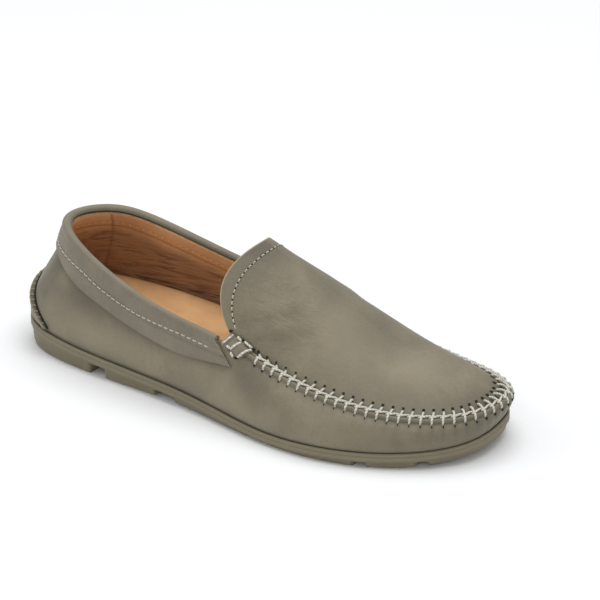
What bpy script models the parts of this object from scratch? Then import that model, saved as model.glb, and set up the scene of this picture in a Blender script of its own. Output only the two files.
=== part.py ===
"""Driving moccasin, the right shoe of a pair, standing empty on its sole.

Metres, +Z up, the toe towards +X and the little-toe side towards -Y. The origin is under the middle of the shoe, on
the floor. The pattern is drawn in millimetres from the back of the heel, then graded to the size of the shoe.
"""

import bmesh
import bpy
import numpy as np

MM = 0.001

# Size of the shoe, and the pattern's own size
SHOE_LENGTH = 288.5 * MM
BALL_WIDTH = 104.5 * MM
HEEL_HEIGHT = 72.4 * MM
INSTEP_HEIGHT = 85.8 * MM
PATTERN_LENGTH = 288.5
PATTERN_WIDTH = 104.5
PATTERN_HEEL = 72.4
PATTERN_INSTEP = 85.8

# Leather
UPPER_WALL = 2.0 * MM
APRON_WALL = 1.8 * MM
BAND_WALL_HEEL = 3.0 * MM
BAND_WALL_FRONT = 2.4 * MM
MARGIN_WIDTH = 12.0 * MM
GAP = 0.3 * MM
# How far a cut edge of leather is rounded up, and how far the collar's rim is folded in
EDGE_CROWN = 0.35 * MM
RIM_FOLD = 0.3 * MM
# Turned-in margin under the foot: from its outer and inner bend to the wall, and the outer bend's height
MARGIN_BEND = 1.0 * MM
MARGIN_INNER_BEND = 2.6 * MM
MARGIN_RISE = 0.9 * MM
# Height, in parts of the wall, at which its belly pulls
BELLY_HEIGHT = 0.36

# Raised seam between the vamp and the apron
SEAM_RISE = 1.8 * MM
SEAM_FLARE = 0.5 * MM
SEAM_FOLD = 3.4 * MM
RIM_STEP = 0.6 * MM
# Sections from the toe where the seam starts to rise out of the collar, and where it has its full height
SEAM_START = 6.25
SEAM_FULL = 5.75

# Collar band
BAND_HEIGHT_SIDE = 16.0 * MM
BAND_HEIGHT_HEEL = 10.5 * MM
BAND_HEIGHT_FRONT = 10.2 * MM
BAND_END_TOP = 5.76
BAND_END_LOW = 6.16
BAND_TUCK = 0.4 * MM

# Sole
CUP_DEPTH = 2.0 * MM
LIP_WALL = 1.4 * MM
BAND_DROP = 4.3 * MM
BLOCK_INSET = 0.9 * MM
BLOCK_DRAFT = 0.8 * MM
BLOCK_EDGE = 0.8 * MM
TOE_SPRING = 5.6 * MM
TOE_SPRING_START = 0.82
HEEL_ROLL = 1.6 * MM
HEEL_ROLL_END = 0.045
ARCH_RISE = 0.9 * MM
ARCH_START = 0.21
ARCH_END = 0.53
INSOLE_WALL = 3.0 * MM
INSOLE_BEVEL = 0.7 * MM
INSOLE_ROOM = 0.9 * MM
HEEL_PAD = 10.0 * MM
HEEL_PAD_FULL = 60 * MM
HEEL_PAD_END = 190 * MM
HEEL_PAD_TAPER = 0.14
# Rear and front end of the line down the middle of the footbed, and of the underside
BED_SPINE = (30 * MM, 255 * MM)
FLOOR_SPINE = (25 * MM, 262 * MM)

SECTION_COLUMNS = ("place", "foot_x", "foot_y", "foot_z", "top_x", "top_y", "top_z", "belly", "shoulder", "drop")
# foot: where the wall leaves the sole. top: inner edge of the collar, or crest of the seam in front of it.
# belly and shoulder: how far the wall swells out low down and near its top. drop: depth of the shoulder, in parts.
SECTIONS = (
    ("heel_back", -3.6, -0.8, 16.0, 17.6, 2.6, 72.4, 2.4, 7.5, 0.40),
    ("heel_lateral_1", 4.4, -22.6, 15.4, 25.6, -12.0, 71.0, 2.6, 7.0, 0.40),
    ("heel_lateral_2", 24.2, -33.6, 13.8, 40.8, -20.8, 66.9, 3.0, 4.0, 0.40),
    ("heel_lateral_3", 50.7, -38.3, 12.2, 61.7, -27.7, 60.9, 3.0, 0.6, 0.40),
    ("waist_lateral_1", 83.5, -41.3, 10.8, 88.7, -33.6, 54.5, 3.0, 0.6, 0.38),
    ("waist_lateral_2", 116.3, -44.7, 9.6, 116.4, -36.7, 49.6, 3.2, 1.0, 0.34),
    ("throat_lateral", 148.1, -50.7, 7.9, 146.5, -39.0, 45.1, 3.6, 2.5, 0.26),
    ("ball_lateral_1", 179.9, -56.4, 6.7, 177.7, -42.7, 36.8, 4.0, 5.0, 0.16),
    ("ball_lateral_2", 211.1, -56.2, 7.5, 208.8, -43.0, 30.4, 4.0, 6.5, 0.10),
    ("toe_lateral_1", 240.7, -47.6, 8.4, 238.9, -37.1, 26.4, 4.0, 7.0, 0.08),
    ("toe_lateral_2", 265.2, -31.9, 9.8, 263.2, -25.6, 25.4, 3.4, 6.0, 0.09),
    ("toe_lateral_3", 280.2, -11.4, 12.0, 278.0, -10.3, 25.8, 2.4, 4.2, 0.12),
    ("toe_tip", 282.6, 10.2, 14.0, 283.6, 7.8, 26.9, 1.8, 2.0, 0.14),
    ("toe_medial_3", 277.6, 25.1, 13.0, 279.4, 22.2, 27.0, 2.2, 2.2, 0.13),
    ("toe_medial_2", 263.9, 37.1, 11.0, 265.6, 31.8, 26.9, 3.2, 5.0, 0.10),
    ("toe_medial_1", 241.8, 46.0, 8.6, 244.0, 36.6, 27.6, 3.8, 6.0, 0.09),
    ("ball_medial_2", 212.6, 48.1, 8.2, 212.9, 38.8, 31.3, 3.8, 5.6, 0.11),
    ("ball_medial_1", 180.5, 45.0, 9.0, 181.0, 38.8, 37.3, 3.6, 4.2, 0.17),
    ("throat_medial", 149.2, 38.9, 10.0, 149.4, 36.2, 44.8, 3.2, 2.0, 0.26),
    ("waist_medial_2", 117.7, 35.0, 11.0, 118.9, 34.6, 50.2, 3.0, 1.0, 0.34),
    ("waist_medial_1", 85.0, 33.0, 12.0, 90.7, 33.5, 56.0, 3.0, 0.6, 0.38),
    ("heel_medial_3", 52.1, 32.1, 13.0, 62.8, 32.0, 62.6, 3.0, 0.6, 0.40),
    ("heel_medial_2", 26.0, 29.0, 14.0, 41.2, 27.6, 68.7, 3.0, 3.6, 0.40),
    ("heel_medial_1", 5.0, 20.0, 15.4, 26.2, 18.9, 71.7, 2.6, 6.6, 0.40),
)
THROAT_LATERAL = 6
TOE_TIP = 12
THROAT_MEDIAL = 18
ROUND = 24
STEPS_PER_SECTION = 4

# Ridge along the apron, from the tip of the tongue to the toe: x, z
RIDGE = (
    (138.6, 85.8),
    (160.0, 76.2),
    (180.0, 65.5),
    (200.0, 54.6),
    (220.0, 44.9),
    (240.0, 38.9),
    (258.0, 35.0),
)
RIDGE_SHIFT = 0.24
RIDGE_SHIFT_TONGUE = 0.15
TONGUE_BOW = 12.2 * MM
TONGUE_BOW_SCALE = 3.08
TONGUE_FADE = 0.30
TONGUE_ARCH = (1.5, 0.48)
TOE_ARCH = (1.55, 1.0)
ARCH_SOFT = 0.06

# Channels across the sole: name, rear_x, front_x
CHANNELS = (
    ("heel_channel", 54.0, 63.5),
    ("waist_channel", 99.5, 112.5),
    ("arch_channel", 165.5, 178.5),
    ("ball_channel", 230.0, 236.5),
    ("toe_channel", 258.5, 264.5),
)
CHANNEL_FLARE = 1.4 * MM
CHANNEL_ROUND = 1.2 * MM
# A cutter's sections across the sole: how far in from the edge, and how wide it flares there
CHANNEL_SECTIONS = ((-8.0, 1.6), (0.5, 1.0), (3.0, 0.3), (8.0, 0.0))
CHANNEL_REACH = 6 * MM
CHANNEL_DEPTH_BELOW = 5 * MM
CHANNEL_CEILING = 0.5 * MM

# Heel counter: its reach round the heel and up the wall, and how its thickness swells into the seam at its top
COUNTER_HALF = 1.92
COUNTER_HEIGHT = 0.35
COUNTER_LOW = 0.05
# share of the height, thickness
COUNTER_PROFILE = ((0, 0.9), (0.45, 0.9), (0.76, 0.9), (0.84, 1.7), (0.93, 1.6), (1, 0.6))

# Side tabs: places round the sections, from the throat forwards, and up the wall and the apron
TAB_REAR = 0.125
TAB_FRONT = 0.50
TAB_LOW = 0.90
TAB_WALL = 1.2 * MM

FINISHES = {
    "leather": {"colour": (0.23, 0.20, 0.14), "roughness": 0.62},
    "leather_band": {"colour": (0.24, 0.215, 0.155), "roughness": 0.62},
    "rubber": {"colour": (0.20, 0.18, 0.12), "roughness": 0.55},
    "lining": {"colour": (0.60, 0.31, 0.12), "roughness": 0.50},
}


def grade():
    """Metres in the shoe for each millimetre of the pattern, along x, y and z."""
    return np.array([SHOE_LENGTH / PATTERN_LENGTH, BALL_WIDTH / PATTERN_WIDTH, HEEL_HEIGHT / PATTERN_HEEL])


def section_points(first):
    """The three graded columns that start at the named one, a row for each section."""
    at = SECTION_COLUMNS.index(first)
    return np.array([row[at:at + 3] for row in SECTIONS]) * grade()


def section_values(name):
    """One column of the sections."""
    at = SECTION_COLUMNS.index(name)
    return np.array([row[at] for row in SECTIONS])[:, None]


def closed_spline(points, place):
    """A smooth closed curve through numbered points, read at places that count round it."""
    count = len(points)
    bend = np.zeros((count, count))
    for i in range(count):
        bend[i, i] = 4
        bend[i, (i - 1) % count] = 1
        bend[i, (i + 1) % count] = 1
    second = np.linalg.solve(bend, 6 * (np.roll(points, -1, 0) - 2 * points + np.roll(points, 1, 0)))
    place = np.asarray(place, float) % count
    before = np.floor(place).astype(int) % count
    after = (before + 1) % count
    s = (place - np.floor(place))[:, None]
    r = 1 - s
    return (r * points[before] + s * points[after]
            + ((r**3 - r) * second[before] + (s**3 - s) * second[after]) / 6)


def open_spline(xs, ys, at):
    """A smooth curve through y over x, straight at both ends, read at x."""
    xs, ys = np.asarray(xs, float), np.asarray(ys, float)
    step, slope = np.diff(xs), np.diff(ys) / np.diff(xs)
    count = len(xs)
    bend = np.eye(count)
    side = np.zeros(count)
    for i in range(1, count - 1):
        bend[i, i - 1:i + 2] = step[i - 1], 2 * (step[i - 1] + step[i]), step[i]
        side[i] = 6 * (slope[i] - slope[i - 1])
    second = np.linalg.solve(bend, side)
    i = np.clip(np.searchsorted(xs, at) - 1, 0, count - 2)
    h = step[i]
    a, b = (xs[i + 1] - at) / h, (at - xs[i]) / h
    return a * ys[i] + b * ys[i + 1] + ((a**3 - a) * second[i] + (b**3 - b) * second[i + 1]) * h * h / 6


def smooth_step(low, high, x):
    """0 up to low, 1 from high, and a soft rise between them."""
    s = np.clip((np.asarray(x, float) - low) / (high - low), 0, 1)
    return s * s * (3 - 2 * s)


def foot_line(place):
    return closed_spline(section_points("foot_x"), place)


def top_line(place):
    return closed_spline(section_points("top_x"), place)


def outward(line, place):
    """The level direction that leads away from the shoe, square to a line round it."""
    along = line(place + 0.01) - line(place - 0.01)
    out = np.stack([along[:, 1], -along[:, 0], np.zeros(len(along))], 1)
    return out / np.linalg.norm(out, axis=1, keepdims=True)


def seam_share(place):
    """1 along the raised seam, 0 round the collar."""
    from_toe = np.abs((np.asarray(place, float) % ROUND) - TOE_TIP)
    return np.clip((SEAM_START - from_toe) / (SEAM_START - SEAM_FULL), 0, 1)[:, None]


UP = np.array([0.0, 0.0, 1.0])


def band_wall(place):
    """Thickness of the collar band, which is padded at the heel."""
    from_heel = TOE_TIP - np.abs((np.asarray(place, float) % ROUND) - TOE_TIP)
    return (BAND_WALL_HEEL + (BAND_WALL_FRONT - BAND_WALL_HEEL) * smooth_step(1.5, 4.5, from_heel))[:, None]


def rim_edges(place):
    """Outer and inner edge of the upper's rim, and the valley at the seam's foot."""
    share = seam_share(place)
    top, out = top_line(place), outward(top_line, place)
    rim = top - UP * (band_wall(place) + BAND_TUCK + GAP) * (1 - share)
    inner = rim + out * (GAP / 2) * share
    outer = rim + out * (UPPER_WALL + GAP / 2 * share)
    valley = outer + out * SEAM_FLARE * share - UP * (RIM_STEP + (SEAM_RISE - RIM_STEP) * share)
    return outer, inner, valley


def wall(place, height):
    """The upper's outer face. place counts round the sections, height runs from the sole (0) to the valley (1)."""
    foot, out = foot_line(place), outward(foot_line, place)
    valley = rim_edges(place)[2]
    rise = (valley - foot)[:, 2:3]
    belly, shoulder, drop = (closed_spline(section_values(n), place) for n in ("belly", "shoulder", "drop"))
    low = foot + out * belly * MM + UP * rise * BELLY_HEIGHT
    high = valley + out * shoulder * MM - UP * rise * drop
    s = np.asarray(height, float).reshape(-1, 1)
    r = 1 - s
    return r**3 * foot + 3 * r * r * s * low + 3 * r * s * s * high + s**3 * valley


def wall_normal(place, height):
    """The direction that leads out of the wall."""
    step = 0.02
    height = np.broadcast_to(np.asarray(height, float), np.shape(place))
    low, high = np.clip(height - step, 0, 1), np.clip(height + step, 0, 1)
    up = wall(place, high) - wall(place, low)
    along = wall(place + step, height) - wall(place - step, height)
    normal = np.cross(along, up)
    return normal / np.linalg.norm(normal, axis=1, keepdims=True)


def lifted(place, height, lift):
    """The upper's face, moved out of the wall by lift."""
    return wall(place, height) + wall_normal(place, height) * lift


def stations():
    return np.arange(ROUND * STEPS_PER_SECTION) / STEPS_PER_SECTION


def mirrored(values):
    """Each station's partner across the shoe."""
    return np.roll(values[::-1], 1, 0)


def spine(line, rear, front):
    """A line down the middle from rear to front, with one point for each station and its partner."""
    middle = (line + mirrored(line)) / 2
    x, y, z = middle[np.argsort(middle[:, 0])].T
    share = (middle[:, 0] - x[0]) / (x[-1] - x[0])
    at = rear + (front - rear) * share
    return np.stack([at, np.interp(at, x, y), np.interp(at, x, z)], 1)


def sole_bottom(x):
    """Height of the sole's underside: a rolled heel, a low arch and the toe spring."""
    share = np.asarray(x) / SHOE_LENGTH
    heel = HEEL_ROLL * np.clip(1 - share / HEEL_ROLL_END, 0, None)**2
    toe = TOE_SPRING * np.clip((share - TOE_SPRING_START) / (1 - TOE_SPRING_START), 0, None)**2
    in_arch = np.clip((share - ARCH_START) / (ARCH_END - ARCH_START), 0, 1)
    return heel + toe + ARCH_RISE * np.sin(np.pi * in_arch)**2


def build_mesh(name, grid, finish, wrap_rows=False, wrap_columns=False, sharp=40):
    """A closed body lofted over a grid of points, whose columns are the sections. An open end is closed across."""
    body = bmesh.new()
    rows = [[body.verts.new(point) for point in row] for row in grid]
    count, width = len(rows), len(rows[0])
    for i in range(count if wrap_rows else count - 1):
        for j in range(width if wrap_columns else width - 1):
            body.faces.new((rows[i][j], rows[(i + 1) % count][j],
                            rows[(i + 1) % count][(j + 1) % width], rows[i][(j + 1) % width]))
    if not wrap_columns:
        for j in (0, width - 1):
            for i in range(count // 2 - 1):
                body.faces.new((rows[i][j], rows[i + 1][j], rows[count - 2 - i][j], rows[count - 1 - i][j]))
    bmesh.ops.remove_doubles(body, verts=body.verts, dist=0.002 * MM)
    bmesh.ops.recalc_face_normals(body, faces=body.faces)
    if body.calc_volume(signed=True) < 0:
        bmesh.ops.reverse_faces(body, faces=body.faces)
    mesh = bpy.data.meshes.new(name)
    body.to_mesh(mesh)
    body.free()
    mesh.shade_smooth()
    mesh.set_sharp_from_angle(angle=np.radians(sharp))
    mesh.materials.append(material(finish))
    piece = bpy.data.objects.new(name, mesh)
    collection("driving_moccasin").objects.link(piece)
    return piece


def collection(name):
    """The collection of that name, made when it is first asked for."""
    found = bpy.data.collections.get(name)
    if found is None:
        found = bpy.data.collections.new(name)
        bpy.context.scene.collection.children.link(found)
    return found


def material(finish):
    """The Principled material of one finish, made when it is first asked for."""
    made = bpy.data.materials.get(finish)
    if made is None:
        made = bpy.data.materials.new(finish)
        made.use_nodes = True
        shader = made.node_tree.nodes["Principled BSDF"]
        shader.inputs["Base Color"].default_value = (*FINISHES[finish]["colour"], 1)
        shader.inputs["Roughness"].default_value = FINISHES[finish]["roughness"]
        shader.inputs["Metallic"].default_value = 0
    return made


def upper():
    """The vamp and quarters: one hollow wall, open at the top and underneath, turned in over the sole."""
    at = stations()
    foot, out = foot_line(at), outward(foot_line, at)
    floor = foot - UP * (CUP_DEPTH - GAP)
    outer, inner, valley = rim_edges(at)
    share = seam_share(at)
    fold = inner - UP * (RIM_FOLD + (SEAM_FOLD - RIM_FOLD) * share)
    crown = (outer + inner) / 2 + UP * EDGE_CROWN * share
    rows = [floor - out * MARGIN_WIDTH, floor - out * MARGIN_BEND, floor + UP * MARGIN_RISE]
    rows += [wall(at, np.full(len(at), h)) for h in (0, 0.14, 0.3, 0.48, 0.66, 0.84, 1)]
    rows += [outer, crown, inner, fold]
    rows += [lifted(at, np.full(len(at), h), -UPPER_WALL) for h in (1, 0.72, 0.42, 0.16)]
    rows += [floor - out * MARGIN_INNER_BEND + UP * UPPER_WALL, floor - out * MARGIN_WIDTH + UP * UPPER_WALL]
    return build_mesh("upper", rows, "leather", wrap_rows=True, wrap_columns=True)


def ridge_height(x):
    pattern_x = x / grade()[0]
    z = open_spline([r[0] for r in RIDGE], [r[1] for r in RIDGE], pattern_x)
    return z * INSTEP_HEIGHT / PATTERN_INSTEP


def arch(across, share):
    """Rise of the apron from its edge (across 1) to its ridge (across 0). share is 1 at the free edge."""
    power = TOE_ARCH[0] + (TONGUE_ARCH[0] - TOE_ARCH[0]) * share
    square = TOE_ARCH[1] + (TONGUE_ARCH[1] - TOE_ARCH[1]) * share
    soft = ARCH_SOFT
    low, high = soft**(power / 2), (1 + soft)**(power / 2)
    return np.clip(1 - ((across**2 + soft)**(power / 2) - low) / (high - low), 0, None)**square


def apron_face(along, inward):
    """The apron's outer face. along counts round the seam, inward runs from the seam's foot (0) to the ridge (1)."""
    partner = 2 * TOE_TIP - along
    edges = []
    for place in (along, partner):
        top, out = top_line(place), outward(top_line, place)
        edges.append(top - out * (APRON_WALL + GAP / 2 + SEAM_FLARE) - UP * SEAM_RISE)
    edge, other = edges
    share = np.abs(along - TOE_TIP)[:, None] / (TOE_TIP - THROAT_LATERAL)
    from_toe = 1 - share
    near_edge = 1 - smooth_step(0, TONGUE_FADE, from_toe)
    shift = RIDGE_SHIFT + (RIDGE_SHIFT_TONGUE - RIDGE_SHIFT) * near_edge
    side = np.abs(edge[:, 1:2] - other[:, 1:2]) / 2
    ridge = (edge + other) / 2
    ridge[:, 1:2] += shift * side
    start, end = RIDGE[0][0] * grade()[0], RIDGE[-1][0] * grade()[0]
    throat, tip = top_line(np.array([THROAT_LATERAL]))[0, 0], top_line(np.array([TOE_TIP]))[0, 0]
    run = np.clip((ridge[:, 0] - throat) / (tip - throat), 0, 1)
    ridge[:, 0] = start + (end - start) * run
    ridge[:, 2] = ridge_height(ridge[:, 0])
    s = np.asarray(inward, float).reshape(-1, 1)
    point = edge + (ridge - edge) * s
    rise = arch(1 - s, near_edge)
    point[:, 2:3] = edge[:, 2:3] + (ridge - edge)[:, 2:3] * rise
    bow = TONGUE_BOW_SCALE * s**0.5 * (1 - s)**1.5
    point[:, 0:1] -= TONGUE_BOW * bow * near_edge
    return point


def apron_normal(along, inward):
    """The direction that leads out of the apron, read just short of the ridge, where the columns meet."""
    step = 0.015
    inward = np.minimum(np.broadcast_to(np.asarray(inward, float), np.shape(along)), 0.97)
    low, high = np.clip(inward - step, 0, 1), np.clip(inward + step, 0, 1)
    first = np.clip(along - step, THROAT_LATERAL, THROAT_MEDIAL)
    last = np.clip(along + step, THROAT_LATERAL, THROAT_MEDIAL)
    up = apron_face(along, high) - apron_face(along, low)
    round_seam = apron_face(last, inward) - apron_face(first, inward)
    normal = np.cross(round_seam, up)
    return normal / np.linalg.norm(normal, axis=1, keepdims=True)


def apron():
    """The plug over the toes and instep, with its edge turned up into the seam and its rear end free as a tongue."""
    count = (THROAT_MEDIAL - THROAT_LATERAL) * STEPS_PER_SECTION + 1
    at = np.linspace(THROAT_LATERAL, THROAT_MEDIAL, count)
    top, out = top_line(at), outward(top_line, at)
    inner = top - out * GAP / 2
    outer = inner - out * APRON_WALL
    crown = (outer + inner) / 2 + UP * EDGE_CROWN
    fold = inner - UP * SEAM_FOLD
    across = (0, 0.09, 0.22, 0.4, 0.6, 0.8, 1)
    faces = [apron_face(at, np.full(count, s)) for s in across]
    backs = []
    for s, face in zip(across, faces):
        level = smooth_step(0.5, 1, s)
        inward = apron_normal(at, np.full(count, s)) * (1 - level) + UP * level
        backs.append(face - inward / np.linalg.norm(inward, axis=1, keepdims=True) * APRON_WALL)
    for rows in (faces, backs):
        rows[-1] = (rows[-1] + rows[-1][::-1]) / 2
    rows = faces[::-1] + [outer, crown, inner, fold] + backs
    return build_mesh("apron", rows, "leather")


def band_height(place):
    """How far the collar band reaches down, from the rim: least at the heel, most halfway to the throat."""
    from_heel = np.abs(place)
    rear = smooth_step(0.5, 2.5, from_heel)
    front = smooth_step(4.8, 6.4, from_heel)
    return (BAND_HEIGHT_HEEL + (BAND_HEIGHT_SIDE - BAND_HEIGHT_HEEL) * rear
            + (BAND_HEIGHT_FRONT - BAND_HEIGHT_SIDE) * front)


def stations_within(end):
    """The upper's stations from the heel to both sides, closed by one at each end."""
    steps = int(end * STEPS_PER_SECTION)
    return np.concatenate([[-end], np.arange(-steps, steps + 1) / STEPS_PER_SECTION, [end]])


def collar_band():
    """The cuff round the opening: a strip outside the upper, rolled over its rim, with slanting ends."""
    at = stations_within(BAND_END_TOP)
    slant = np.sign(at) * (BAND_END_LOW - BAND_END_TOP) * smooth_step(4.5, BAND_END_TOP, np.abs(at))
    thick = band_wall(at)
    outer_rows, inner_rows = [], []
    for share in (0, 0.33, 0.66, 0.97):
        place = at + slant * (1 - share)
        tall = np.linalg.norm(wall(place, np.ones(len(at))) - wall(place, np.zeros(len(at))), axis=1)
        height = 1 - band_height(place) / tall * (1 - share)
        outer_rows.append(lifted(place, height, GAP + thick))
        inner_rows.append(lifted(place, height, GAP))
    top, out = top_line(at), outward(top_line, at)
    half = (UPPER_WALL + GAP + thick) / 2
    centre = top + (out - UP) * half
    roll = [centre + (out * np.cos(turn) + UP * np.sin(turn)) * half for turn in np.radians((20, 75, 130, 180))]
    rows = outer_rows + roll + [centre] * len(roll) + inner_rows[::-1]
    return build_mesh("collar_band", rows, "leather_band", wrap_rows=True)


def counter_top(place):
    """How high the heel counter reaches up the wall: a low arch."""
    return COUNTER_LOW + (COUNTER_HEIGHT - COUNTER_LOW) * (1 - np.abs(place / COUNTER_HALF)**1.4)**0.85


def heel_counter():
    """The patch at the back of the heel, with the hand-sewn seam raised along its top edge."""
    at = stations_within(COUNTER_HALF * 0.995)
    low, high = np.full(len(at), COUNTER_LOW * 0.9), counter_top(at)
    outer, inner = [], []
    for share, lift in COUNTER_PROFILE:
        height = low + (high - low) * share
        outer.append(lifted(at, height, GAP + lift * MM))
        inner.append(lifted(at, height, GAP))
    return build_mesh("heel_counter", outer + inner[::-1], "leather", wrap_rows=True)


def side_tab(name, throat, way):
    """The folded corner of the vamp, laid over the seam beside the tongue. way is 1 or -1 round the shoe."""
    at = throat + way * np.linspace(TAB_REAR, TAB_FRONT, 4)
    top, out = top_line(at), outward(top_line, at)
    rim, brim = rim_edges(at)[0], top - out * APRON_WALL
    layers = []
    for lift in (GAP + TAB_WALL, GAP):
        layers.append([lifted(at, TAB_LOW, lift), lifted(at, (1 + TAB_LOW) / 2, lift), rim + (out + UP) * lift * 0.75,
                       top + UP * (lift + EDGE_CROWN), brim + UP * (lift + EDGE_CROWN / 2)])
    return build_mesh(name, layers[1][::-1] + layers[0], "leather_band", wrap_rows=True)


def bed(out):
    """The step in from the upper's foot to the edge of its turned-in margin, with room round it."""
    return foot_line(stations()) - UP * CUP_DEPTH - out * (MARGIN_WIDTH + 2 * GAP)


def insole():
    """The footbed: it rests on the margin and drops to the sole inside it. Under the heel it is padded."""
    foot = foot_line(stations())
    out = outward(foot_line, stations())
    on_margin = UP * (UPPER_WALL + 2 * GAP)
    under = bed(out) + UP * 2 * GAP
    edge = foot - UP * CUP_DEPTH - out * (UPPER_WALL + INSOLE_ROOM) + on_margin
    face = edge - out * INSOLE_BEVEL + UP * INSOLE_WALL
    pad = HEEL_PAD * (1 - smooth_step(HEEL_PAD_FULL, HEEL_PAD_END, face[:, 0]))[:, None]
    face = face + UP * pad - out * pad * HEEL_PAD_TAPER
    rows = [spine(under, *BED_SPINE), under, bed(out) + on_margin, edge, face, spine(face, *BED_SPINE)]
    return build_mesh("insole", rows, "lining", wrap_columns=True)


def outsole():
    """The sole: a shallow cup with a beaded lip, over blocks that stand on the floor."""
    at = stations()
    foot, out = foot_line(at), outward(foot_line, at)
    cup = foot + out * GAP
    lip = GAP + LIP_WALL
    profile = (
        (GAP, 0.2), (GAP + 0.6 * MM, 0.45), (lip, 0.0), (lip, -1.0), (lip - 0.5 * MM, -1.5), (lip, -2.0),
        (lip, -BAND_DROP / MM), (lip - BLOCK_INSET, -BAND_DROP / MM - 0.25),
    )
    rows = [spine(bed(out), *BED_SPINE), bed(out), cup - UP * CUP_DEPTH]
    rows += [foot + out * reach + UP * height * MM for reach, height in profile]
    side = foot + out * (lip - BLOCK_INSET - BLOCK_DRAFT)
    floor = side - out * BLOCK_EDGE
    for row, lift in ((side, BLOCK_EDGE), (floor, 0)):
        row[:, 2] = sole_bottom(row[:, 0]) + lift
    middle = spine(floor, *FLOOR_SPINE)
    middle[:, 2] = sole_bottom(middle[:, 0])
    within = (floor + middle) / 2
    within[:, 2] = sole_bottom(within[:, 0])
    rows += [side, floor, within, middle]
    piece = build_mesh("outsole", rows, "rubber", wrap_columns=True)
    for name, rear_x, front_x in CHANNELS:
        cut(piece, channel(name, rear_x * grade()[0], front_x * grade()[0]))
    return piece


def channel(name, rear_x, front_x):
    """The cutter of one channel across the sole: a rounded tunnel that flares at both ends."""
    at = stations()
    foot = foot_line(at)
    middle_x, half = (rear_x + front_x) / 2, (front_x - rear_x) / 2
    near = foot[np.abs(foot[:, 0] - middle_x) < half + CHANNEL_REACH]
    ceiling = near[:, 2].min() - BAND_DROP - CHANNEL_CEILING
    lateral, medial = near[:, 1].min(), near[:, 1].max()
    places = [(lateral + inset * MM, flare) for inset, flare in CHANNEL_SECTIONS]
    places += [(medial - inset * MM, flare) for inset, flare in CHANNEL_SECTIONS[::-1]]
    corner, bend, low = CHANNEL_ROUND, CHANNEL_ROUND * 0.3, -CHANNEL_DEPTH_BELOW
    rows = []
    for y, flare in places:
        reach = half + CHANNEL_FLARE * flare
        side = ((reach, low), (reach, ceiling - corner), (reach - bend, ceiling - bend), (reach - corner, ceiling))
        outline = [(-x, z) for x, z in side] + list(side[::-1])
        rows.append([(middle_x + x, y, z) for x, z in outline])
    cutter = build_mesh(name, np.array(rows).transpose(1, 0, 2), "rubber", wrap_rows=True)
    collection("driving_moccasin").objects.unlink(cutter)
    collection("cutters").objects.link(cutter)
    cutter.hide_render = True
    cutter.display_type = "WIRE"
    return cutter


def cut(piece, cutter):
    """Takes the cutter's shape out of the piece."""
    modifier = piece.modifiers.new(cutter.name, "BOOLEAN")
    modifier.operation = "DIFFERENCE"
    modifier.solver = "EXACT"
    modifier.object = cutter


def centre_on_origin():
    """Moves every mesh so that the origin is under the middle of the shoe, on the floor."""
    pieces = [thing for thing in bpy.data.objects if thing.type == "MESH" and not thing.hide_render]
    corners = np.array([vertex.co for piece in pieces for vertex in piece.data.vertices])
    middle = (corners.min(0) + corners.max(0)) / 2
    for thing in bpy.data.objects:
        for vertex in thing.data.vertices:
            vertex.co.x -= middle[0]
            vertex.co.y -= middle[1]


def main():
    for thing in list(bpy.data.objects):
        bpy.data.objects.remove(thing, do_unlink=True)
    outsole()
    upper()
    apron()
    collar_band()
    heel_counter()
    side_tab("side_tab_lateral", THROAT_LATERAL, 1)
    side_tab("side_tab_medial", THROAT_MEDIAL, -1)
    insole()
    centre_on_origin()


main()
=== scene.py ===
"""Driving moccasin, right shoe: leather, lining, threads and rubber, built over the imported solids."""

from math import cos, pi, radians, sin

import bmesh
import bpy
import numpy as np
from bpy.props import FloatProperty, FloatVectorProperty, PointerProperty
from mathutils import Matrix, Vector


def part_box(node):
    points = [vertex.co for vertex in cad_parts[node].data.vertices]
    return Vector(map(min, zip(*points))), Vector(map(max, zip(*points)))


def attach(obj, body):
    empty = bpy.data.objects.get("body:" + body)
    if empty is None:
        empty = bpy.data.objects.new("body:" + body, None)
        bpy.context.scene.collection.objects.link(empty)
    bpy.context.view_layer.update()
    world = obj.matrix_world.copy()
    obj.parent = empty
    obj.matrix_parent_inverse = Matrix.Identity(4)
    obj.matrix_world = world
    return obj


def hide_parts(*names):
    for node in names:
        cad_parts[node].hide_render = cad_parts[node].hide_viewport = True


bl_info = {
    "name": "Driving moccasin",
    "version": (1, 0, 0),
    "blender": (4, 5, 0),
    "location": "View3D > Sidebar > Shoe",
    "description": "Builds the leather, lining, threads and rubber of a driving moccasin",
    "category": "Add Mesh",
}

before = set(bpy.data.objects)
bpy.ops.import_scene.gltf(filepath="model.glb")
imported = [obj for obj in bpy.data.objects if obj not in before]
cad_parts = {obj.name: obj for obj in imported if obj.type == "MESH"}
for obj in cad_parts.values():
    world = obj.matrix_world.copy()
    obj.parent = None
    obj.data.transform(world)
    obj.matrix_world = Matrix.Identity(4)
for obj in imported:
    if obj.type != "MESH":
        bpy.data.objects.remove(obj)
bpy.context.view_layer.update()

MM = 0.001
UP = np.array([0.0, 0.0, 1.0])
BODY = "root"

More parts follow.
